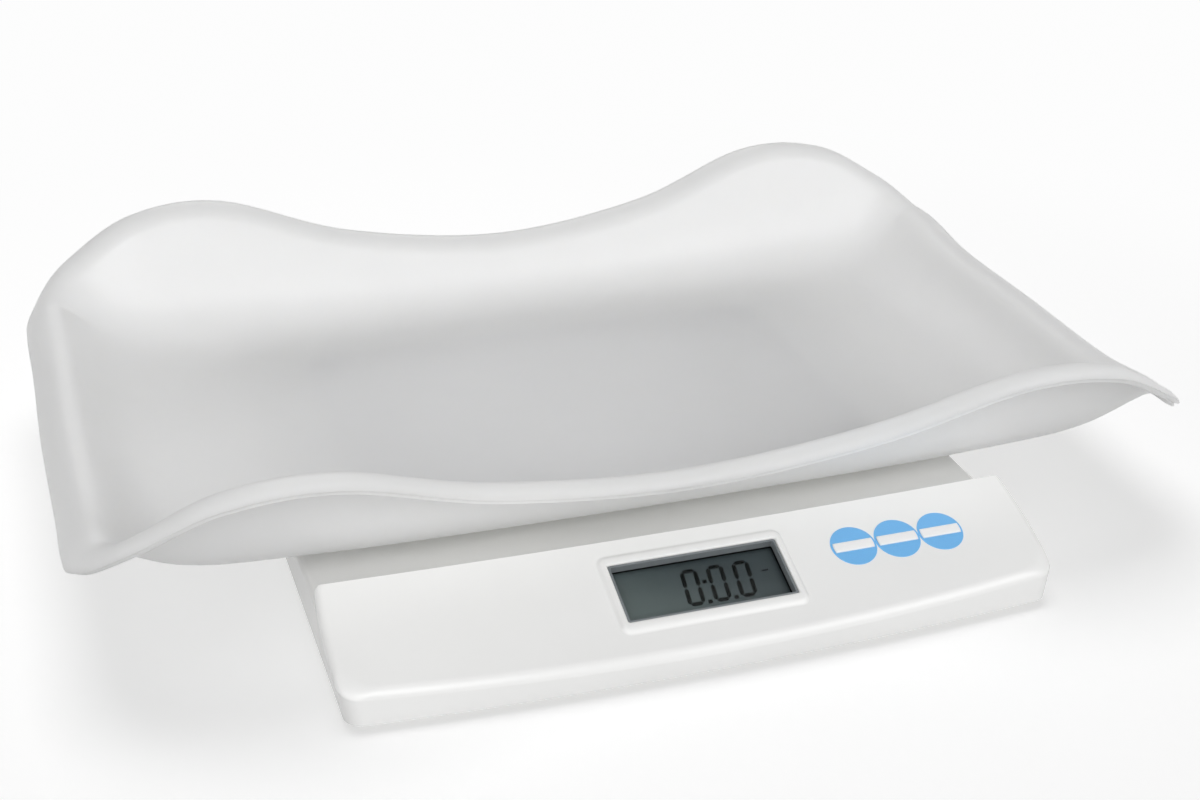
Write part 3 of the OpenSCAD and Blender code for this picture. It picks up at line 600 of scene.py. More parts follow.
# How far along the rim the walls are eased round the corners
CORNER_EASE = 15 * MM
FLOOR_SHARES = (0.92, 0.75, 0.5, 0.25)
PEG_PLACE = (122 * MM, 76 * MM)
PEG_ROUNDING = 1 * MM
PEG_WELD = 0.5 * MM


def catmull(a, b, c, d, t):
    """Point of a smooth curve from b to c, with a before and d after."""
    return 0.5 * (2 * b + (c - a) * t + (2 * a - 5 * b + 4 * c - d) * t * t
                  + (3 * b - a - 3 * c + d) * t ** 3)


def bezier(a, b, c, d, t):
    """Point of a cubic curve."""
    return (1 - t) ** 3 * a + 3 * t * (1 - t) ** 2 * b + 3 * t * t * (1 - t) * c + t ** 3 * d


def rim_curve():
    """The whole rim, as points with the level direction that leads out of the tray at each."""
    quarter = [np.array(p, float) * MM for p in RIM_QUARTER_MM]
    back = quarter[::-1][1:]
    control = (quarter + [p * (-1, 1, 1) for p in back] + [p * (-1, -1, 1) for p in quarter[1:]]
               + [p * (1, -1, 1) for p in back[:-1]])
    n = len(control)
    rim = np.array([catmull(control[i - 1], control[i], control[(i + 1) % n],
                            control[(i + 2) % n], k / RIM_STEPS)
                    for i in range(n) for k in range(RIM_STEPS)])
    along = np.roll(rim, -1, axis=0) - np.roll(rim, 1, axis=0)
    out = np.stack([along[:, 1], -along[:, 0]], axis=1)
    return rim, out / np.linalg.norm(out, axis=1, keepdims=True)


def tray_section(sizes, crest, out):
    """One section of the upper surface, from the floor's edge up the wall and over the lip."""
    end_share = out[0] ** 2
    lean = sizes.side_angle * (1 - end_share) + sizes.end_angle * end_share
    reach = sizes.side_lip * (1 - end_share) + sizes.end_lip * end_share
    droop = math.asin(reach / sizes.lip_radius) - EDGE_TUCK
    flat = np.array([out[0], out[1], 0])
    up = np.array([0, 0, 1])
    top = crest - flat * sizes.lip_radius * math.sin(lean)
    top = top - up * sizes.lip_radius * (1 - math.cos(lean))
    share = np.array(crest[:2]) / MM / RIM_HALF_MM
    norm = (abs(share[0]) ** FLOOR_POWER + abs(share[1]) ** FLOOR_POWER) ** (1 / FLOOR_POWER)
    foot = np.array([sizes.floor_half_x * share[0] / norm, sizes.floor_half_y * share[1] / norm,
                     sizes.floor_height])
    run = (top - foot) * (1, 1, 0)
    pull = TOP_PULL * math.hypot(np.linalg.norm(run) * (1 - FOOT_PULL), top[2] - foot[2])
    before = top - pull * (flat * math.cos(lean) + up * math.sin(lean))
    rows = [bezier(foot, foot + FOOT_PULL * run, before, top, k / WALL_ROWS)
            for k in range(WALL_ROWS + 1)]
    for k in range(1, LIP_ROWS + 1):
        t = lean - (lean + droop) * k / LIP_ROWS
        rows.append(top + flat * sizes.lip_radius * (math.sin(lean) - math.sin(t))
                    + up * sizes.lip_radius * (math.cos(t) - math.cos(lean)))
    return rows


def softened(skin, rim):
    """Ease the wall round the corners, most of all at half its height."""
    steps = np.linalg.norm(np.roll(rim, -1, axis=0) - rim, axis=1)
    places = np.concatenate([[0], np.cumsum(steps)[:-1]])
    apart = abs(places[:, None] - places[None, :])
    apart = np.minimum(apart, steps.sum() - apart)
    blend = np.exp(-(apart / CORNER_EASE) ** 2 / 2) * (steps + np.roll(steps, 1))
    blend /= blend.sum(axis=1, keepdims=True)
    for row in range(1, WALL_ROWS):
        share = math.sin(math.pi * row / WALL_ROWS)
        skin[row] += share * (blend @ skin[row] - skin[row])
    return skin


def tray_rings(sizes):
    """Rings of points over the tray's underside, round its edge and over its upper surface."""
    rim, out = rim_curve()
    skin = np.array([tray_section(sizes, c, o) for c, o in zip(rim, out)]).transpose(1, 0, 2)
    skin = softened(skin, rim)
    along = np.roll(skin, -1, axis=1) - np.roll(skin, 1, axis=1)
    up = np.gradient(skin, axis=0)
    down = np.cross(along, up)
    down /= np.linalg.norm(down, axis=2, keepdims=True)
    down[0] = (0, 0, -1)
    under = skin + sizes.wall * down
    middle = (skin[-1] + under[-1]) / 2
    side = skin[-1] - middle
    forward = np.cross(along[-1], side)
    forward *= -sizes.wall / 2 / np.linalg.norm(forward, axis=1, keepdims=True)
    edge = [middle - side * math.cos(t) + forward * math.sin(t)
            for t in (math.pi * k / EDGE_ROWS for k in range(1, EDGE_ROWS))]
    shrink = [np.array([f, f, 1]) for f in reversed(FLOOR_SHARES)]
    rings = [[(0, 0, under[0][0][2])]]
    rings += [under[0] * f for f in shrink] + list(under) + edge + list(skin[::-1])
    rings += [skin[0] * f for f in reversed(shrink)] + [[(0, 0, sizes.floor_height)]]
    return [[tuple(p) for p in ring] for ring in rings]


def peg(sizes, place):
    """A locating peg with a rounded foot, which flares into the tray's underside."""
    r, top, turn = sizes.peg_radius, sizes.floor_height - sizes.wall, PEG_ROUNDING
    low, ease = top - sizes.peg_height, 0.3 * PEG_ROUNDING
    profile = [(0, low), (r - turn, low), (r - ease, low + ease), (r, low + turn), (r, top - turn),
               (r + ease, top - ease), (r + turn, top), (r + turn, top + PEG_WELD),
               (0, top + PEG_WELD)]
    return turned("peg", profile, place, steps=48)


class SCALE_OT_tray(Operator):
    """Mould the curved tray with its rolled lip and the pegs that locate it"""
    bl_idname = "baby_scale.tray"
    bl_label = "Tray"

    def execute(self, context):
        sizes = context.scene.scale_tray
        place = Matrix.Translation((0, TRAY_Y, 0))
        shell = loft("tray_shell", tray_rings(sizes), place)
        x, y = PEG_PLACE
        pegs = [peg(sizes, place @ Matrix.Translation((sx * x, sy * y, 0)))
                for sx in (-1, 1) for sy in (-1, 1)]
        place_piece(smooth(join("tray_moulding", [shell, *pegs]), 50), "tray", "tray_plastic", "tray")
        return {"FINISHED"}


# ---- Upper housing ----------------------------------------------------------------------------
CORNER_STEPS = 12
FRONT_STEPS = 40
SIDE_STEPS = 16
TURN_STEPS = 10
# The walls lean in by the draft towards their foot, and the front one by the tuck as well
DRAFT = 0.5 * MM
FOOT_TUCK = 1.2 * MM
FOOT_BOW_LOSS = 2 * MM
BACK_CORNER = 3 * MM
# Behind the front edge: where the console is widest, and where the deck's body starts inside it
SWELL_MID = 36 * MM
DECK_START = 45 * MM
# Keeps the deck's sides clear of the console's own, so that the two weld cleanly
DECK_GAP = 0.01 * MM
# The hole in the deck that the platform reaches through, and the low wall that stands round it
HOLE_SIZE = (216 * MM, 116 * MM)
HOLE_CORNER = 10 * MM
COAMING_WALL = 2 * MM
COAMING_RISE = 4 * MM
KEY_SLOT_PLAY = 0.3 * MM
# The surround's section from outside to inside: share of its width, and share of its rise
SURROUND_PROFILE = (
    (1.0, -0.6), (1.0, 0), (0.93, 0.05), (0.84, 0.22), (0.74, 0.5), (0.62, 0.78), (0.48, 0.94),
    (0.32, 1.0), (0.16, 0.99), (0.06, 0.9), (0, 0.62), (0, -0.6),
)
SURROUND_PLAY = 0.1 * MM
SURROUND_CORNERS = (1 * MM, 5 * MM)


def plan(sizes, pull, back_pull, span, radii, bows):
    """Outline from above between two depths, pulled in, with a bowed front and back."""
    half = sizes.width / 2
    hw, rf, rb = half - pull, max(radii[0] - pull, MM), max(radii[1] - pull, 0.5 * MM)
    run, front, back = hw - rf, span[0] + pull, span[1] - back_pull
    low, high = front + bows[0] * (run / half) ** 2 + rf, back - rb
    fronts = [run * (2 * k / FRONT_STEPS - 1) for k in range(1, FRONT_STEPS)]
    sides = [low + (high - low) * k / SIDE_STEPS for k in range(1, SIDE_STEPS)]
    backs = [1 - 2 * k / FRONT_STEPS for k in range(1, FRONT_STEPS)]
    return ([(x, front + bows[0] * (x / half) ** 2) for x in fronts]
            + arc(run, low, rf, -90, CORNER_STEPS) + [(hw, y) for y in sides]
            + arc(hw - rb, high, rb, 0, CORNER_STEPS)
            + [((hw - rb) * t, back - bows[1] * (1 - t * t)) for t in backs]
            + arc(-hw + rb, high, rb, 90, CORNER_STEPS) + [(-hw, y) for y in reversed(sides)]
            + arc(-run, low, rf, 180, CORNER_STEPS))


def swell(sizes, outline, bow):
    """Widen an outline most at one depth and not at all at the front."""
    widened = []
    for x, y in outline:
        t = (y - FRONT_Y) / SWELL_MID - 1
        widened.append((x * (1 + bow / (sizes.width / 2) * max(0, 1 - t * t)), y))
    return widened


def console(sizes, pull, foot):
    """The sloped console as a solid, pulled in on every outer side."""
    r = max(sizes.edge_height - pull, MM)
    span = (FRONT_Y, FRONT_Y + sizes.console_depth)
    foot_bow = sizes.front_bow - FOOT_BOW_LOSS
    rings = [ring_at(plan(sizes, pull + DRAFT, pull, (span[0] + FOOT_TUCK, span[1]),
                          (sizes.corner_radius, BACK_CORNER), (foot_bow, sizes.back_bow)), foot)]
    slope = math.tan(sizes.panel_tilt)
    for k in range(TURN_STEPS + 1):
        t = k / TURN_STEPS
        turn = 1 - math.cos(math.pi / 2 * t)
        corner = sizes.corner_radius * (1 - t) + sizes.panel_corner_radius * t
        outline = plan(sizes, pull + r * turn, pull + r * turn / 2, span, (corner, BACK_CORNER),
                       (sizes.front_bow, sizes.back_bow))
        bow = sizes.side_bow - (sizes.end_edge - sizes.edge_height) * turn
        drop = pull / math.cos(sizes.panel_tilt) + r * (1 - math.sin(math.pi / 2 * t))
        rings.append([(x, y, sizes.nose_height + (y - FRONT_Y) * slope - drop)
                      for x, y in swell(sizes, outline, bow)])
    return loft("console", rings)


def deck(sizes, pull, foot):
    """The flat body behind the console as a solid, pulled in on every outer side."""
    r = max(sizes.deck_edge - pull, 0.5 * MM)
    span = (FRONT_Y + DECK_START, BACK_Y)
    radii = (sizes.corner_radius, sizes.corner_radius)
    rings = [ring_at(plan(sizes, pull + DRAFT, pull + DRAFT, span, radii, (0, 0)), foot)]
    for k in range(TURN_STEPS + 1):
        t = math.pi / 2 * k / TURN_STEPS
        inset = pull + r * (1 - math.cos(t)) + DECK_GAP
        rings.append(ring_at(plan(sizes, inset, inset, span, radii, (0, 0)),
                             sizes.deck_height - pull - r * (1 - math.sin(t))))
    return loft("deck", rings)


def surround(sizes, display):
    """Soft frame round the display, which rises out of the panel and falls to the opening."""
    width, height = display.width + SURROUND_PLAY, display.height + SURROUND_PLAY
    inner, outer = SURROUND_CORNERS
    rings = [ring_at(rounded_rect(width + 2 * out * sizes.surround_side,
                                  height + 2 * out * sizes.surround_end,
                                  inner + (outer - inner) * out), sizes.surround_rise * rise)
             for out, rise in SURROUND_PROFILE]
    return hoop("display_surround", rings, panel_place(display.centre_x, display.centre_s))


class SCALE_OT_housing(Operator):
    """Mould the upper shell of the base, with its sloped console and the display's surround"""
    bl_idname = "baby_scale.housing"
    bl_label = "Upper housing"

    def execute(self, context):
        scene = context.scene
        sizes, display, keys = scene.scale_housing, scene.scale_display, scene.scale_keys
        shell = combine(console(sizes, 0, sizes.rim_height), deck(sizes, 0, sizes.rim_height),
                        "UNION")
        shell.name = "housing_moulding"
        tray_place = Matrix.Translation((0, TRAY_Y, 0))
        long, wide = HOLE_SIZE
        coaming = rounded_rect(long + 2 * COAMING_WALL, wide + 2 * COAMING_WALL,
                               HOLE_CORNER + COAMING_WALL)
        combine(shell, prism("coaming", coaming, sizes.deck_height - sizes.wall,
                             sizes.deck_height + COAMING_RISE, tray_place), "UNION")
        for tool in (console(sizes, sizes.wall, 0), deck(sizes, sizes.wall, 0)):
            combine(shell, tool)
        hole = rounded_rect(long, wide, HOLE_CORNER)
        combine(shell, prism("hole", hole, 0, 2 * sizes.deck_height, tray_place))
        window = rounded_rect(display.width, display.height, MM)
        combine(shell, prism("window", window, -CUT, CUT,
                             panel_place(display.centre_x, display.centre_s)))
        slot = bar_outline(keys.bar_length / 2 + KEY_SLOT_PLAY, keys.bar_width + 2 * KEY_SLOT_PLAY)
        for i in range(len(KEY_BODIES)):
            combine(shell, prism("slot", slot, -CUT, CUT,
                                 panel_place(keys.first_x + i * keys.pitch, keys.height_on_panel)))
        place_piece(smooth(shell, 38), "base", "housing_plastic", "top_housing")
        place_piece(smooth(surround(sizes, display), 60), "base", "housing_plastic")
        return {"FINISHED"}


# ---- Display ----------------------------------------------------------------------------------
# Heights are square to the panel, from its face
BEZEL_TOP = 0.9 * MM
BEZEL_PLAY = 0.1 * MM
BEZEL_CORNERS = (1 * MM, 0.6 * MM)
BEZEL_FLANGE_TOP = -2.5 * MM
WINDOW_TOP = -3.2 * MM
WINDOW_THICK = 1.2 * MM
LCD_TOP = WINDOW_TOP - WINDOW_THICK - 0.1 * MM
# How much wider and higher than the opening the flange, pane and mask are
HIDDEN_RIM = (10 * MM, 9 * MM)
HIDDEN_CORNER = 1.5 * MM
SEEN_CORNER = 0.6 * MM
# How much of the mask shows inside the bezel
MASK_SHOWS = 0.8 * MM
MASK_CORNER = 0.8 * MM
PRINT_THICK = 0.04 * MM
# The bezel's section from its outer foot to its inner foot: share of its thickness, and height
BEZEL_PROFILE = (
    (0, WINDOW_TOP), (0, BEZEL_TOP - 0.35 * MM), (0.1, BEZEL_TOP - 0.1 * MM), (0.3, BEZEL_TOP),
    (0.65, BEZEL_TOP), (0.9, BEZEL_TOP - 0.12 * MM), (1, BEZEL_TOP - 0.4 * MM), (1, WINDOW_TOP),
)
DIGIT_COUNT = 3
FIRST_DIGIT_X = -8.1 * MM
DIGIT_FOOT = 27.2 * MM
DIGIT_SLANT = 0.1
SEGMENT_GAP = 0.4 * MM
SEGMENT_THICK = 0.06 * MM
# The points stand before the digits; the upper one and the dash stand at shares of their height
POINT_BEFORE_DIGIT = 2.1 * MM
UPPER_POINT_SHARE = 0.6
DASH_AFTER_DIGITS = 2.5 * MM
DASH_SHARE = 0.63
DASH_HALF = (1.7 * MM, 0.4 * MM)


def segment(run, turn_degrees, stroke, x, y):
    """Outline of one display segment with pointed ends, round a middle."""
    half, tip = run / 2, stroke / 2
    shape = [(-half, 0), (-half + tip, -tip), (half - tip, -tip), (half, 0), (half - tip, tip),
             (-half + tip, tip)]
    c, s = math.cos(math.radians(turn_degrees)), math.sin(math.radians(turn_degrees))
    return [(x + c * px - s * py, y + s * px + c * py) for px, py in shape]


def nought(display, x):
    """Outlines of the six segments of a nought whose lower left corner is at x."""
    h, w, stroke = display.digit_height, display.digit_width, display.stroke
    middle_x, middle_y, half = x + w / 2, h / 2, h / 2 - stroke / 2
    shapes = []
    for side in (-1, 1):
        shapes.append(segment(w - stroke - SEGMENT_GAP, 0, stroke, middle_x, middle_y + side * half))
        for across in (-1, 1):
            shapes.append(segment(half - SEGMENT_GAP, 90, stroke,
                                  middle_x + across * (w - stroke) / 2, middle_y + side * half / 2))
    return shapes


def block(x, y, half_x, half_y):
    """Outline of a small upright block round a middle."""
    return [(x - half_x, y - half_y), (x + half_x, y - half_y), (x + half_x, y + half_y),
            (x - half_x, y + half_y)]


def bezel_rings(display):
    """Sections of the thin rim that lines the opening, with its rolled upper edge."""
    width, height, thick = display.width - BEZEL_PLAY, display.height - BEZEL_PLAY, display.bezel
    outer, inner = BEZEL_CORNERS
    return [ring_at(rounded_rect(width - 2 * thick * share, height - 2 * thick * share,
                                 outer + (inner - outer) * share), z)
            for share, z in BEZEL_PROFILE]


class SCALE_OT_display(Operator):
    """Build the display: its bezel, clear window, printed mask and lit digits"""
    bl_idname = "baby_scale.display"
    bl_label = "Display"

    def execute(self, context):
        display = context.scene.scale_display
        place = panel_place(display.centre_x, display.centre_s)
        seen = [side - 2 * display.bezel for side in (display.width, display.height)]
        hidden = rounded_rect(display.width + HIDDEN_RIM[0], display.height + HIDDEN_RIM[1],
                              HIDDEN_CORNER)
        flange = prism("bezel_flange", hidden, WINDOW_TOP, BEZEL_FLANGE_TOP, place)
        combine(flange, prism("bezel_hole", rounded_rect(*seen, SEEN_CORNER), -CUT, CUT, place))
        rim = hoop("bezel_rim", bezel_rings(display), place)
        bezel = smooth(join("bezel_moulding", [rim, flange]), 40)
        place_piece(bezel, "base", "bezel_plastic", "display_bezel")
        window = smooth(prism("window_pane", hidden, WINDOW_TOP - WINDOW_THICK, WINDOW_TOP, place))
        place_piece(window, "base", "clear_window", "display_window")
        mask = prism("printed_mask", hidden, WINDOW_TOP, WINDOW_TOP + PRINT_THICK, place)
        hole = rounded_rect(*(side - 2 * MASK_SHOWS for side in seen), MASK_CORNER)
        combine(mask, prism("mask_hole", hole, -CUT, CUT, place))
        place_piece(smooth(mask), "base", "digit_black")
        self.make_digits(display)
        return {"FINISHED"}

    def make_digits(self, display):
        """The switched-on segments: the noughts, the points between them and a small dash."""
        pitch, half, high = display.digit_pitch, display.stroke / 2, display.digit_height
        shapes = [shape for i in range(DIGIT_COUNT) for shape in nought(display, i * pitch)]
        shapes += [block(i * pitch - POINT_BEFORE_DIGIT, half, half, half)
                   for i in range(1, DIGIT_COUNT)]
        shapes.append(block(pitch - POINT_BEFORE_DIGIT, high * UPPER_POINT_SHARE, half, half))
        shapes.append(block(DIGIT_COUNT * pitch + DASH_AFTER_DIGITS, high * DASH_SHARE, *DASH_HALF))
        lean = Matrix.Identity(4)
        lean[0][1] = DIGIT_SLANT
        place = panel_place(FIRST_DIGIT_X, DIGIT_FOOT) @ lean
        digits = join("lit_segments", [prism("segment", shape, LCD_TOP, LCD_TOP + SEGMENT_THICK,
                                             place) for shape in shapes])
        place_piece(digits, "base", "digit_black", "lcd_digits")


# ---- Keys -------------------------------------------------------------------------------------
KEY_BODIES = ("left_key", "middle_key", "right_key")
KEY_EDGE = 0.5 * MM
KEY_EDGE_STEPS = 5
# The crown lies this far under the key's top: at its edge, and at shares of its length and width
CROWN_DROP = (0.12 * MM, 0.03 * MM)
CROWN_SHARE = (0.8, 0.5)
FLANGE_TOP = -2.6 * MM
FLANGE_FOOT = FLANGE_TOP - 1 * MM
FLANGE_WIDE = 0.8 * MM
STEM_RADIUS = 2 * MM
STEM_FOOT = -5.2 * MM
LABEL_THICK = 0.25 * MM
LABEL_EDGE = 0.1 * MM
LABEL_PLAY = 0.1 * MM


def key_outline(keys, play):
    """Outline of a key's bar, wider all round by some play."""
    return bar_outline(keys.bar_length / 2 + play, keys.bar_width + 2 * play)


def key_cap(keys, place):
    """A bar-shaped key with softened edges and a slightly crowned top, on its flange and stem."""
    rings = [ring_at(key_outline(keys, 0), FLANGE_FOOT)]
    for k in range(KEY_EDGE_STEPS + 1):
        t = math.pi / 2 * k / KEY_EDGE_STEPS
        rings.append(ring_at(key_outline(keys, -KEY_EDGE * (1 - math.cos(t))),
                             keys.rise - CROWN_DROP[0] - KEY_EDGE * (1 - math.sin(t))))
    crown = bar_outline(keys.bar_length / 2 * CROWN_SHARE[0], keys.bar_width * CROWN_SHARE[1])
    rings += [ring_at(crown, keys.rise - CROWN_DROP[1]), [(0, 0, keys.rise)]]
    flange = prism("flange", key_outline(keys, FLANGE_WIDE), FLANGE_FOOT, FLANGE_TOP, place)
    stem = turned("stem", [(0, STEM_FOOT), (STEM_RADIUS, STEM_FOOT), (STEM_RADIUS, FLANGE_FOOT),
                           (0, FLANGE_FOOT)], place, steps=32)
    return [loft("cap", rings, place), flange, stem]


def printed_disc(keys, place):
    """One printed disc with a fine bevelled edge, and a slot that the key comes up through."""
    r = keys.disc_radius
    disc = turned("disc", [(0, 0), (r, 0), (r, LABEL_THICK - LABEL_EDGE),
                           (r - LABEL_EDGE, LABEL_THICK), (0, LABEL_THICK)], place, steps=128)
    return combine(disc, prism("slot", key_outline(keys, LABEL_PLAY), -CUT, CUT, place))


class SCALE_OT_keys(Operator):
    """Build the three keys and the printed discs round them"""
    bl_idname = "baby_scale.keys"
    bl_label = "Keys"

    def execute(self, context):
        keys = context.scene.scale_keys
        discs = []
        for i, body in enumerate(KEY_BODIES):
            place = panel_place(keys.first_x + i * keys.pitch, keys.height_on_panel)
            cap = smooth(join(body + "_cap", key_cap(keys, place)), 40)
            place_piece(cap, body, "key_plastic", body)
            discs.append(printed_disc(keys, place))
        place_piece(smooth(join("printed_discs", discs), 40), "base", "label_blue", "key_label")
        return {"FINISHED"}


# ---- Underside and inner pieces ---------------------------------------------------------------
FOOT_RADIUS = 9 * MM
# The sole's section: inset from the foot's radius, and height
FOOT_EDGE_MM = ((1.6, 0), (0.6, 0.3), (0.1, 1), (0, 1.8))
SOLE_HOLLOW_MM = ((0, 0.8), (3.4, 0.8), (4.2, 0))


class SCALE_OT_feet(Operator):
    """Mould the four rubber feet, with a hollow sole and a rounded edge"""
    bl_idname = "baby_scale.feet"
    bl_label = "Feet"

    def execute(self, context):
        low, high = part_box("rubber_feet")
        r = FOOT_RADIUS
        profile = [(x * MM, z * MM) for x, z in SOLE_HOLLOW_MM]
        profile += [(r - inset * MM, z * MM) for inset, z in FOOT_EDGE_MM]
        profile += [(r, high.z), (0, high.z)]
        feet = [turned("foot", profile, Matrix.Translation((x, y, 0)), steps=64)
                for x in (low.x + r, high.x - r) for y in (low.y + r, high.y - r)]
        place_piece(smooth(join("moulded_feet", feet), 40), "base", "foot_rubber", "rubber_feet")
        return {"FINISHED"}


class SCALE_OT_works(Operator):
    """Give every piece that keeps its construction shape the finish of its slot"""
    bl_idname = "baby_scale.works"
    bl_label = "Inner pieces"

    def execute(self, context):
        slots = {part["node"]: part["material_slot"] for part in frame["record"]["subparts"]}
        for name, obj in frame["nodes"].items():
            obj.data.materials.clear()
            obj.data.materials.append(MATERIALS[slots[name]])
        return {"FINISHED"}


# ---- Stage ------------------------------------------------------------------------------------
CAMERA_PLACE_MM = (-282.51, -826.32, 487.58)
CAMERA_YAW, CAMERA_PITCH, CAMERA_ROLL = (math.radians(a) for a in (19.19, 26.81, 0.98))
CAMERA_LENS_MM = 55.73
SENSOR_WIDTH_MM = 36
CAMERA_REACH = 100.0
# Brightness of the white all round where it is seen, and where it lights the scale
BACKGROUND = 0.98
AMBIENT = 0.23
# The floor's own glow where it is seen, and where it lights the scale
FLOOR_GLOW = 0.51
FLOOR_BOUNCE = 0.1
FLOOR_RADIUS = 4.0
FLOOR_STEPS = 96
# The floor's shadow fades into the white between these distances from the middle
SHADOW_REACH = (0.36, 0.62)
LAMP_WIDTH = 1.6
# Name, place in metres and power in watts. The floor has a lamp of its own
LAMPS = (
    ("front_lamp", (-0.5, -2.3, 1.5), 29),
    ("left_lamp", (-1.9, -1.5, 1.7), 13),
    ("right_lamp", (1.6, -1.9, 1.5), 21),
    ("back_lamp", (0.3, 2.4, 1.6), 8),
)
FLOOR_LAMP = ("floor_lamp", (-0.15, 0.6, 2.2), 21)
# Light reaches the shaded deck only after many turns between its white faces and the tray's
DIFFUSE_BOUNCES = 12


def camera_matrix():
    """Where the camera stands, from its place, yaw, pitch and roll."""
    yaw, pitch, roll = CAMERA_YAW, CAMERA_PITCH, CAMERA_ROLL
    ahead = Vector((math.sin(yaw) * math.cos(pitch), math.cos(yaw) * math.cos(pitch),
                    -math.sin(pitch)))
    level = ahead.cross(Vector((0, 0, 1))).normalized()
    up = level.cross(ahead)
    right = level * math.cos(roll) + up * math.sin(roll)
    top = up * math.cos(roll) - level * math.sin(roll)
    place = Matrix.Translation(Vector(CAMERA_PLACE_MM) * MM)
    return place @ Matrix((right, top, -ahead)).transposed().to_4x4()


def lamp(name, place, watts):
    """A soft square lamp aimed at the scale."""
    light = bpy.data.lights.new(name, "AREA")
    light.shape = "SQUARE"
    light.size = LAMP_WIDTH
    light.energy = watts
    obj = bpy.data.objects.new(name, light)
    obj.location = place
    obj.rotation_euler = (-Vector(place)).to_track_quat("-Z", "Y").to_euler()
    bpy.context.scene.collection.objects.link(obj)
    return obj


def straight_view(tree):
    """1 for a ray that shows a surface, straight, mirrored or through a pane, and 0 for others."""
    path = add(tree, "LightPath").outputs
    plain = add(tree, "Math", {0: path["Is Camera Ray"], 1: path["Is Glossy Ray"]},
                operation="MAXIMUM")
    return add(tree, "Math", {0: plain.outputs[0], 1: path["Is Transmission Ray"]},
               operation="MAXIMUM").outputs[0]


def floor_material():
    """Matt white paper sweep: it keeps the soft shadow near the scale and fades into the white
    further out, and it lights the scale from below less than it shows."""
    material, tree, place = new_material("paper_matt_white")
    distance = add(tree, "VectorMath", {0: place}, operation="LENGTH").outputs["Value"]
    fade = add(tree, "MapRange", {"Value": distance, "From Min": SHADOW_REACH[0],
                                  "From Max": SHADOW_REACH[1]}, interpolation_type="SMOOTHSTEP")
    paper = add(tree, "BsdfDiffuse", {"Color": (*linear("#E7E7E7"), 1)})
    glow = add(tree, "Emission", {"Strength": FLOOR_GLOW})
    near = add(tree, "AddShader", {0: paper.outputs[0], 1: glow.outputs[0]})
    far = add(tree, "Emission", {"Strength": BACKGROUND})
    seen = add(tree, "MixShader", {0: fade.outputs[0], 1: near.outputs[0], 2: far.outputs[0]})
    bounce = add(tree, "Emission", {"Strength": FLOOR_BOUNCE})
    lights = add(tree, "AddShader", {0: paper.outputs[0], 1: bounce.outputs[0]})
    mix = add(tree, "MixShader", {0: straight_view(tree), 1: lights.outputs[0],
                                  2: seen.outputs[0]})
    add(tree, "OutputMaterial", {"Surface": mix.outputs[0]})
    return material


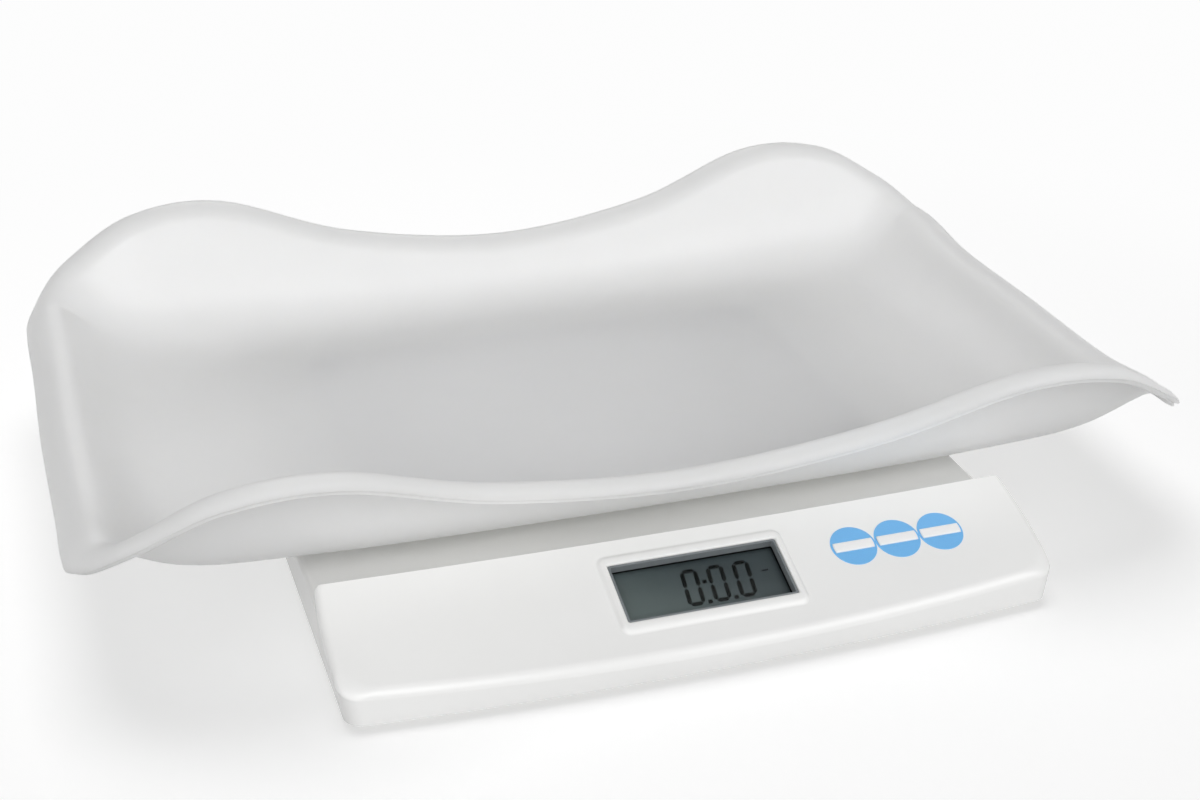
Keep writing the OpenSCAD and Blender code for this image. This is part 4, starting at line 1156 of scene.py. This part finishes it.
class SCALE_OT_stage(Operator):
    """Set the camera, the soft lamps and the white floor"""
    bl_idname = "baby_scale.stage"
    bl_label = "Stage"

    def execute(self, context):
        scene = context.scene
        camera = bpy.data.cameras.new("camera")
        camera.sensor_width = SENSOR_WIDTH_MM
        camera.lens = CAMERA_LENS_MM
        camera.clip_end = CAMERA_REACH
        viewer = bpy.data.objects.new("camera", camera)
        viewer.matrix_world = camera_matrix()
        scene.collection.objects.link(viewer)
        scene.camera = viewer
        self.make_world(scene)
        turns = [2 * math.pi * j / FLOOR_STEPS for j in range(FLOOR_STEPS)]
        floor = new_object("floor", [(FLOOR_RADIUS * math.cos(t), FLOOR_RADIUS * math.sin(t), 0)
                                     for t in turns], [tuple(range(FLOOR_STEPS))])
        floor.data.materials.append(floor_material())
        floor_only = self.lit("floor_only", floor, "INCLUDE")
        all_but_floor = self.lit("all_but_floor", floor, "EXCLUDE")
        lamp(*FLOOR_LAMP).light_linking.receiver_collection = floor_only
        for values in LAMPS:
            lamp(*values).light_linking.receiver_collection = all_but_floor
        scene.cycles.diffuse_bounces = DIFFUSE_BOUNCES
        scene.view_settings.view_transform = "Standard"
        return {"FINISHED"}

    def lit(self, name, floor, state):
        """A collection that ties lamps to the floor alone, or to everything but the floor."""
        group = bpy.data.collections.new(name)
        group.objects.link(floor)
        group.collection_objects[0].light_linking.link_state = state
        return group

    def make_world(self, scene):
        """White where it is seen or mirrored, and a softer level where it lights the object."""
        world = bpy.data.worlds.new("studio")
        scene.world = world
        world.use_nodes = True
        tree = world.node_tree
        tree.nodes.clear()
        level = add(tree, "MapRange", {"Value": straight_view(tree), "To Min": AMBIENT,
                                       "To Max": BACKGROUND})
        background = add(tree, "Background", {"Color": (*linear("#FFFFFF"), 1),
                                              "Strength": level.outputs[0]})
        add(tree, "OutputWorld", {"Surface": background.outputs[0]})


class SCALE_PT_panel(Panel):
    """Sidebar panel with the sizes, the colours and a button for each step"""
    bl_label = "Baby weighing scale"
    bl_idname = "SCALE_PT_panel"
    bl_space_type = "VIEW_3D"
    bl_region_type = "UI"
    bl_category = "Scale"

    def draw(self, context):
        layout = self.layout
        for operator in OPERATORS:
            layout.operator(operator.bl_idname)
        for name, group in GROUPS.items():
            box = layout.box()
            box.label(text=group.__doc__)
            for field in group.__annotations__:
                box.prop(getattr(context.scene, name), field)


OPERATORS = (SCALE_OT_stage, SCALE_OT_works, SCALE_OT_tray, SCALE_OT_housing, SCALE_OT_display,
             SCALE_OT_keys, SCALE_OT_feet)
CLASSES = (*GROUPS.values(), *OPERATORS, SCALE_PT_panel)
MATERIALS = {}


def register():
    for cls in CLASSES:
        bpy.utils.register_class(cls)
    for name, group in GROUPS.items():
        setattr(bpy.types.Scene, name, PointerProperty(type=group))


def unregister():
    for name in GROUPS:
        delattr(bpy.types.Scene, name)
    for cls in reversed(CLASSES):
        bpy.utils.unregister_class(cls)


def main():
    register()
    MATERIALS.update(make_materials(bpy.context.scene.scale_finishes))
    for operator in OPERATORS:
        group, step = operator.bl_idname.split(".")
        getattr(getattr(bpy.ops, group), step)()


if __name__ == "__main__":
    main()
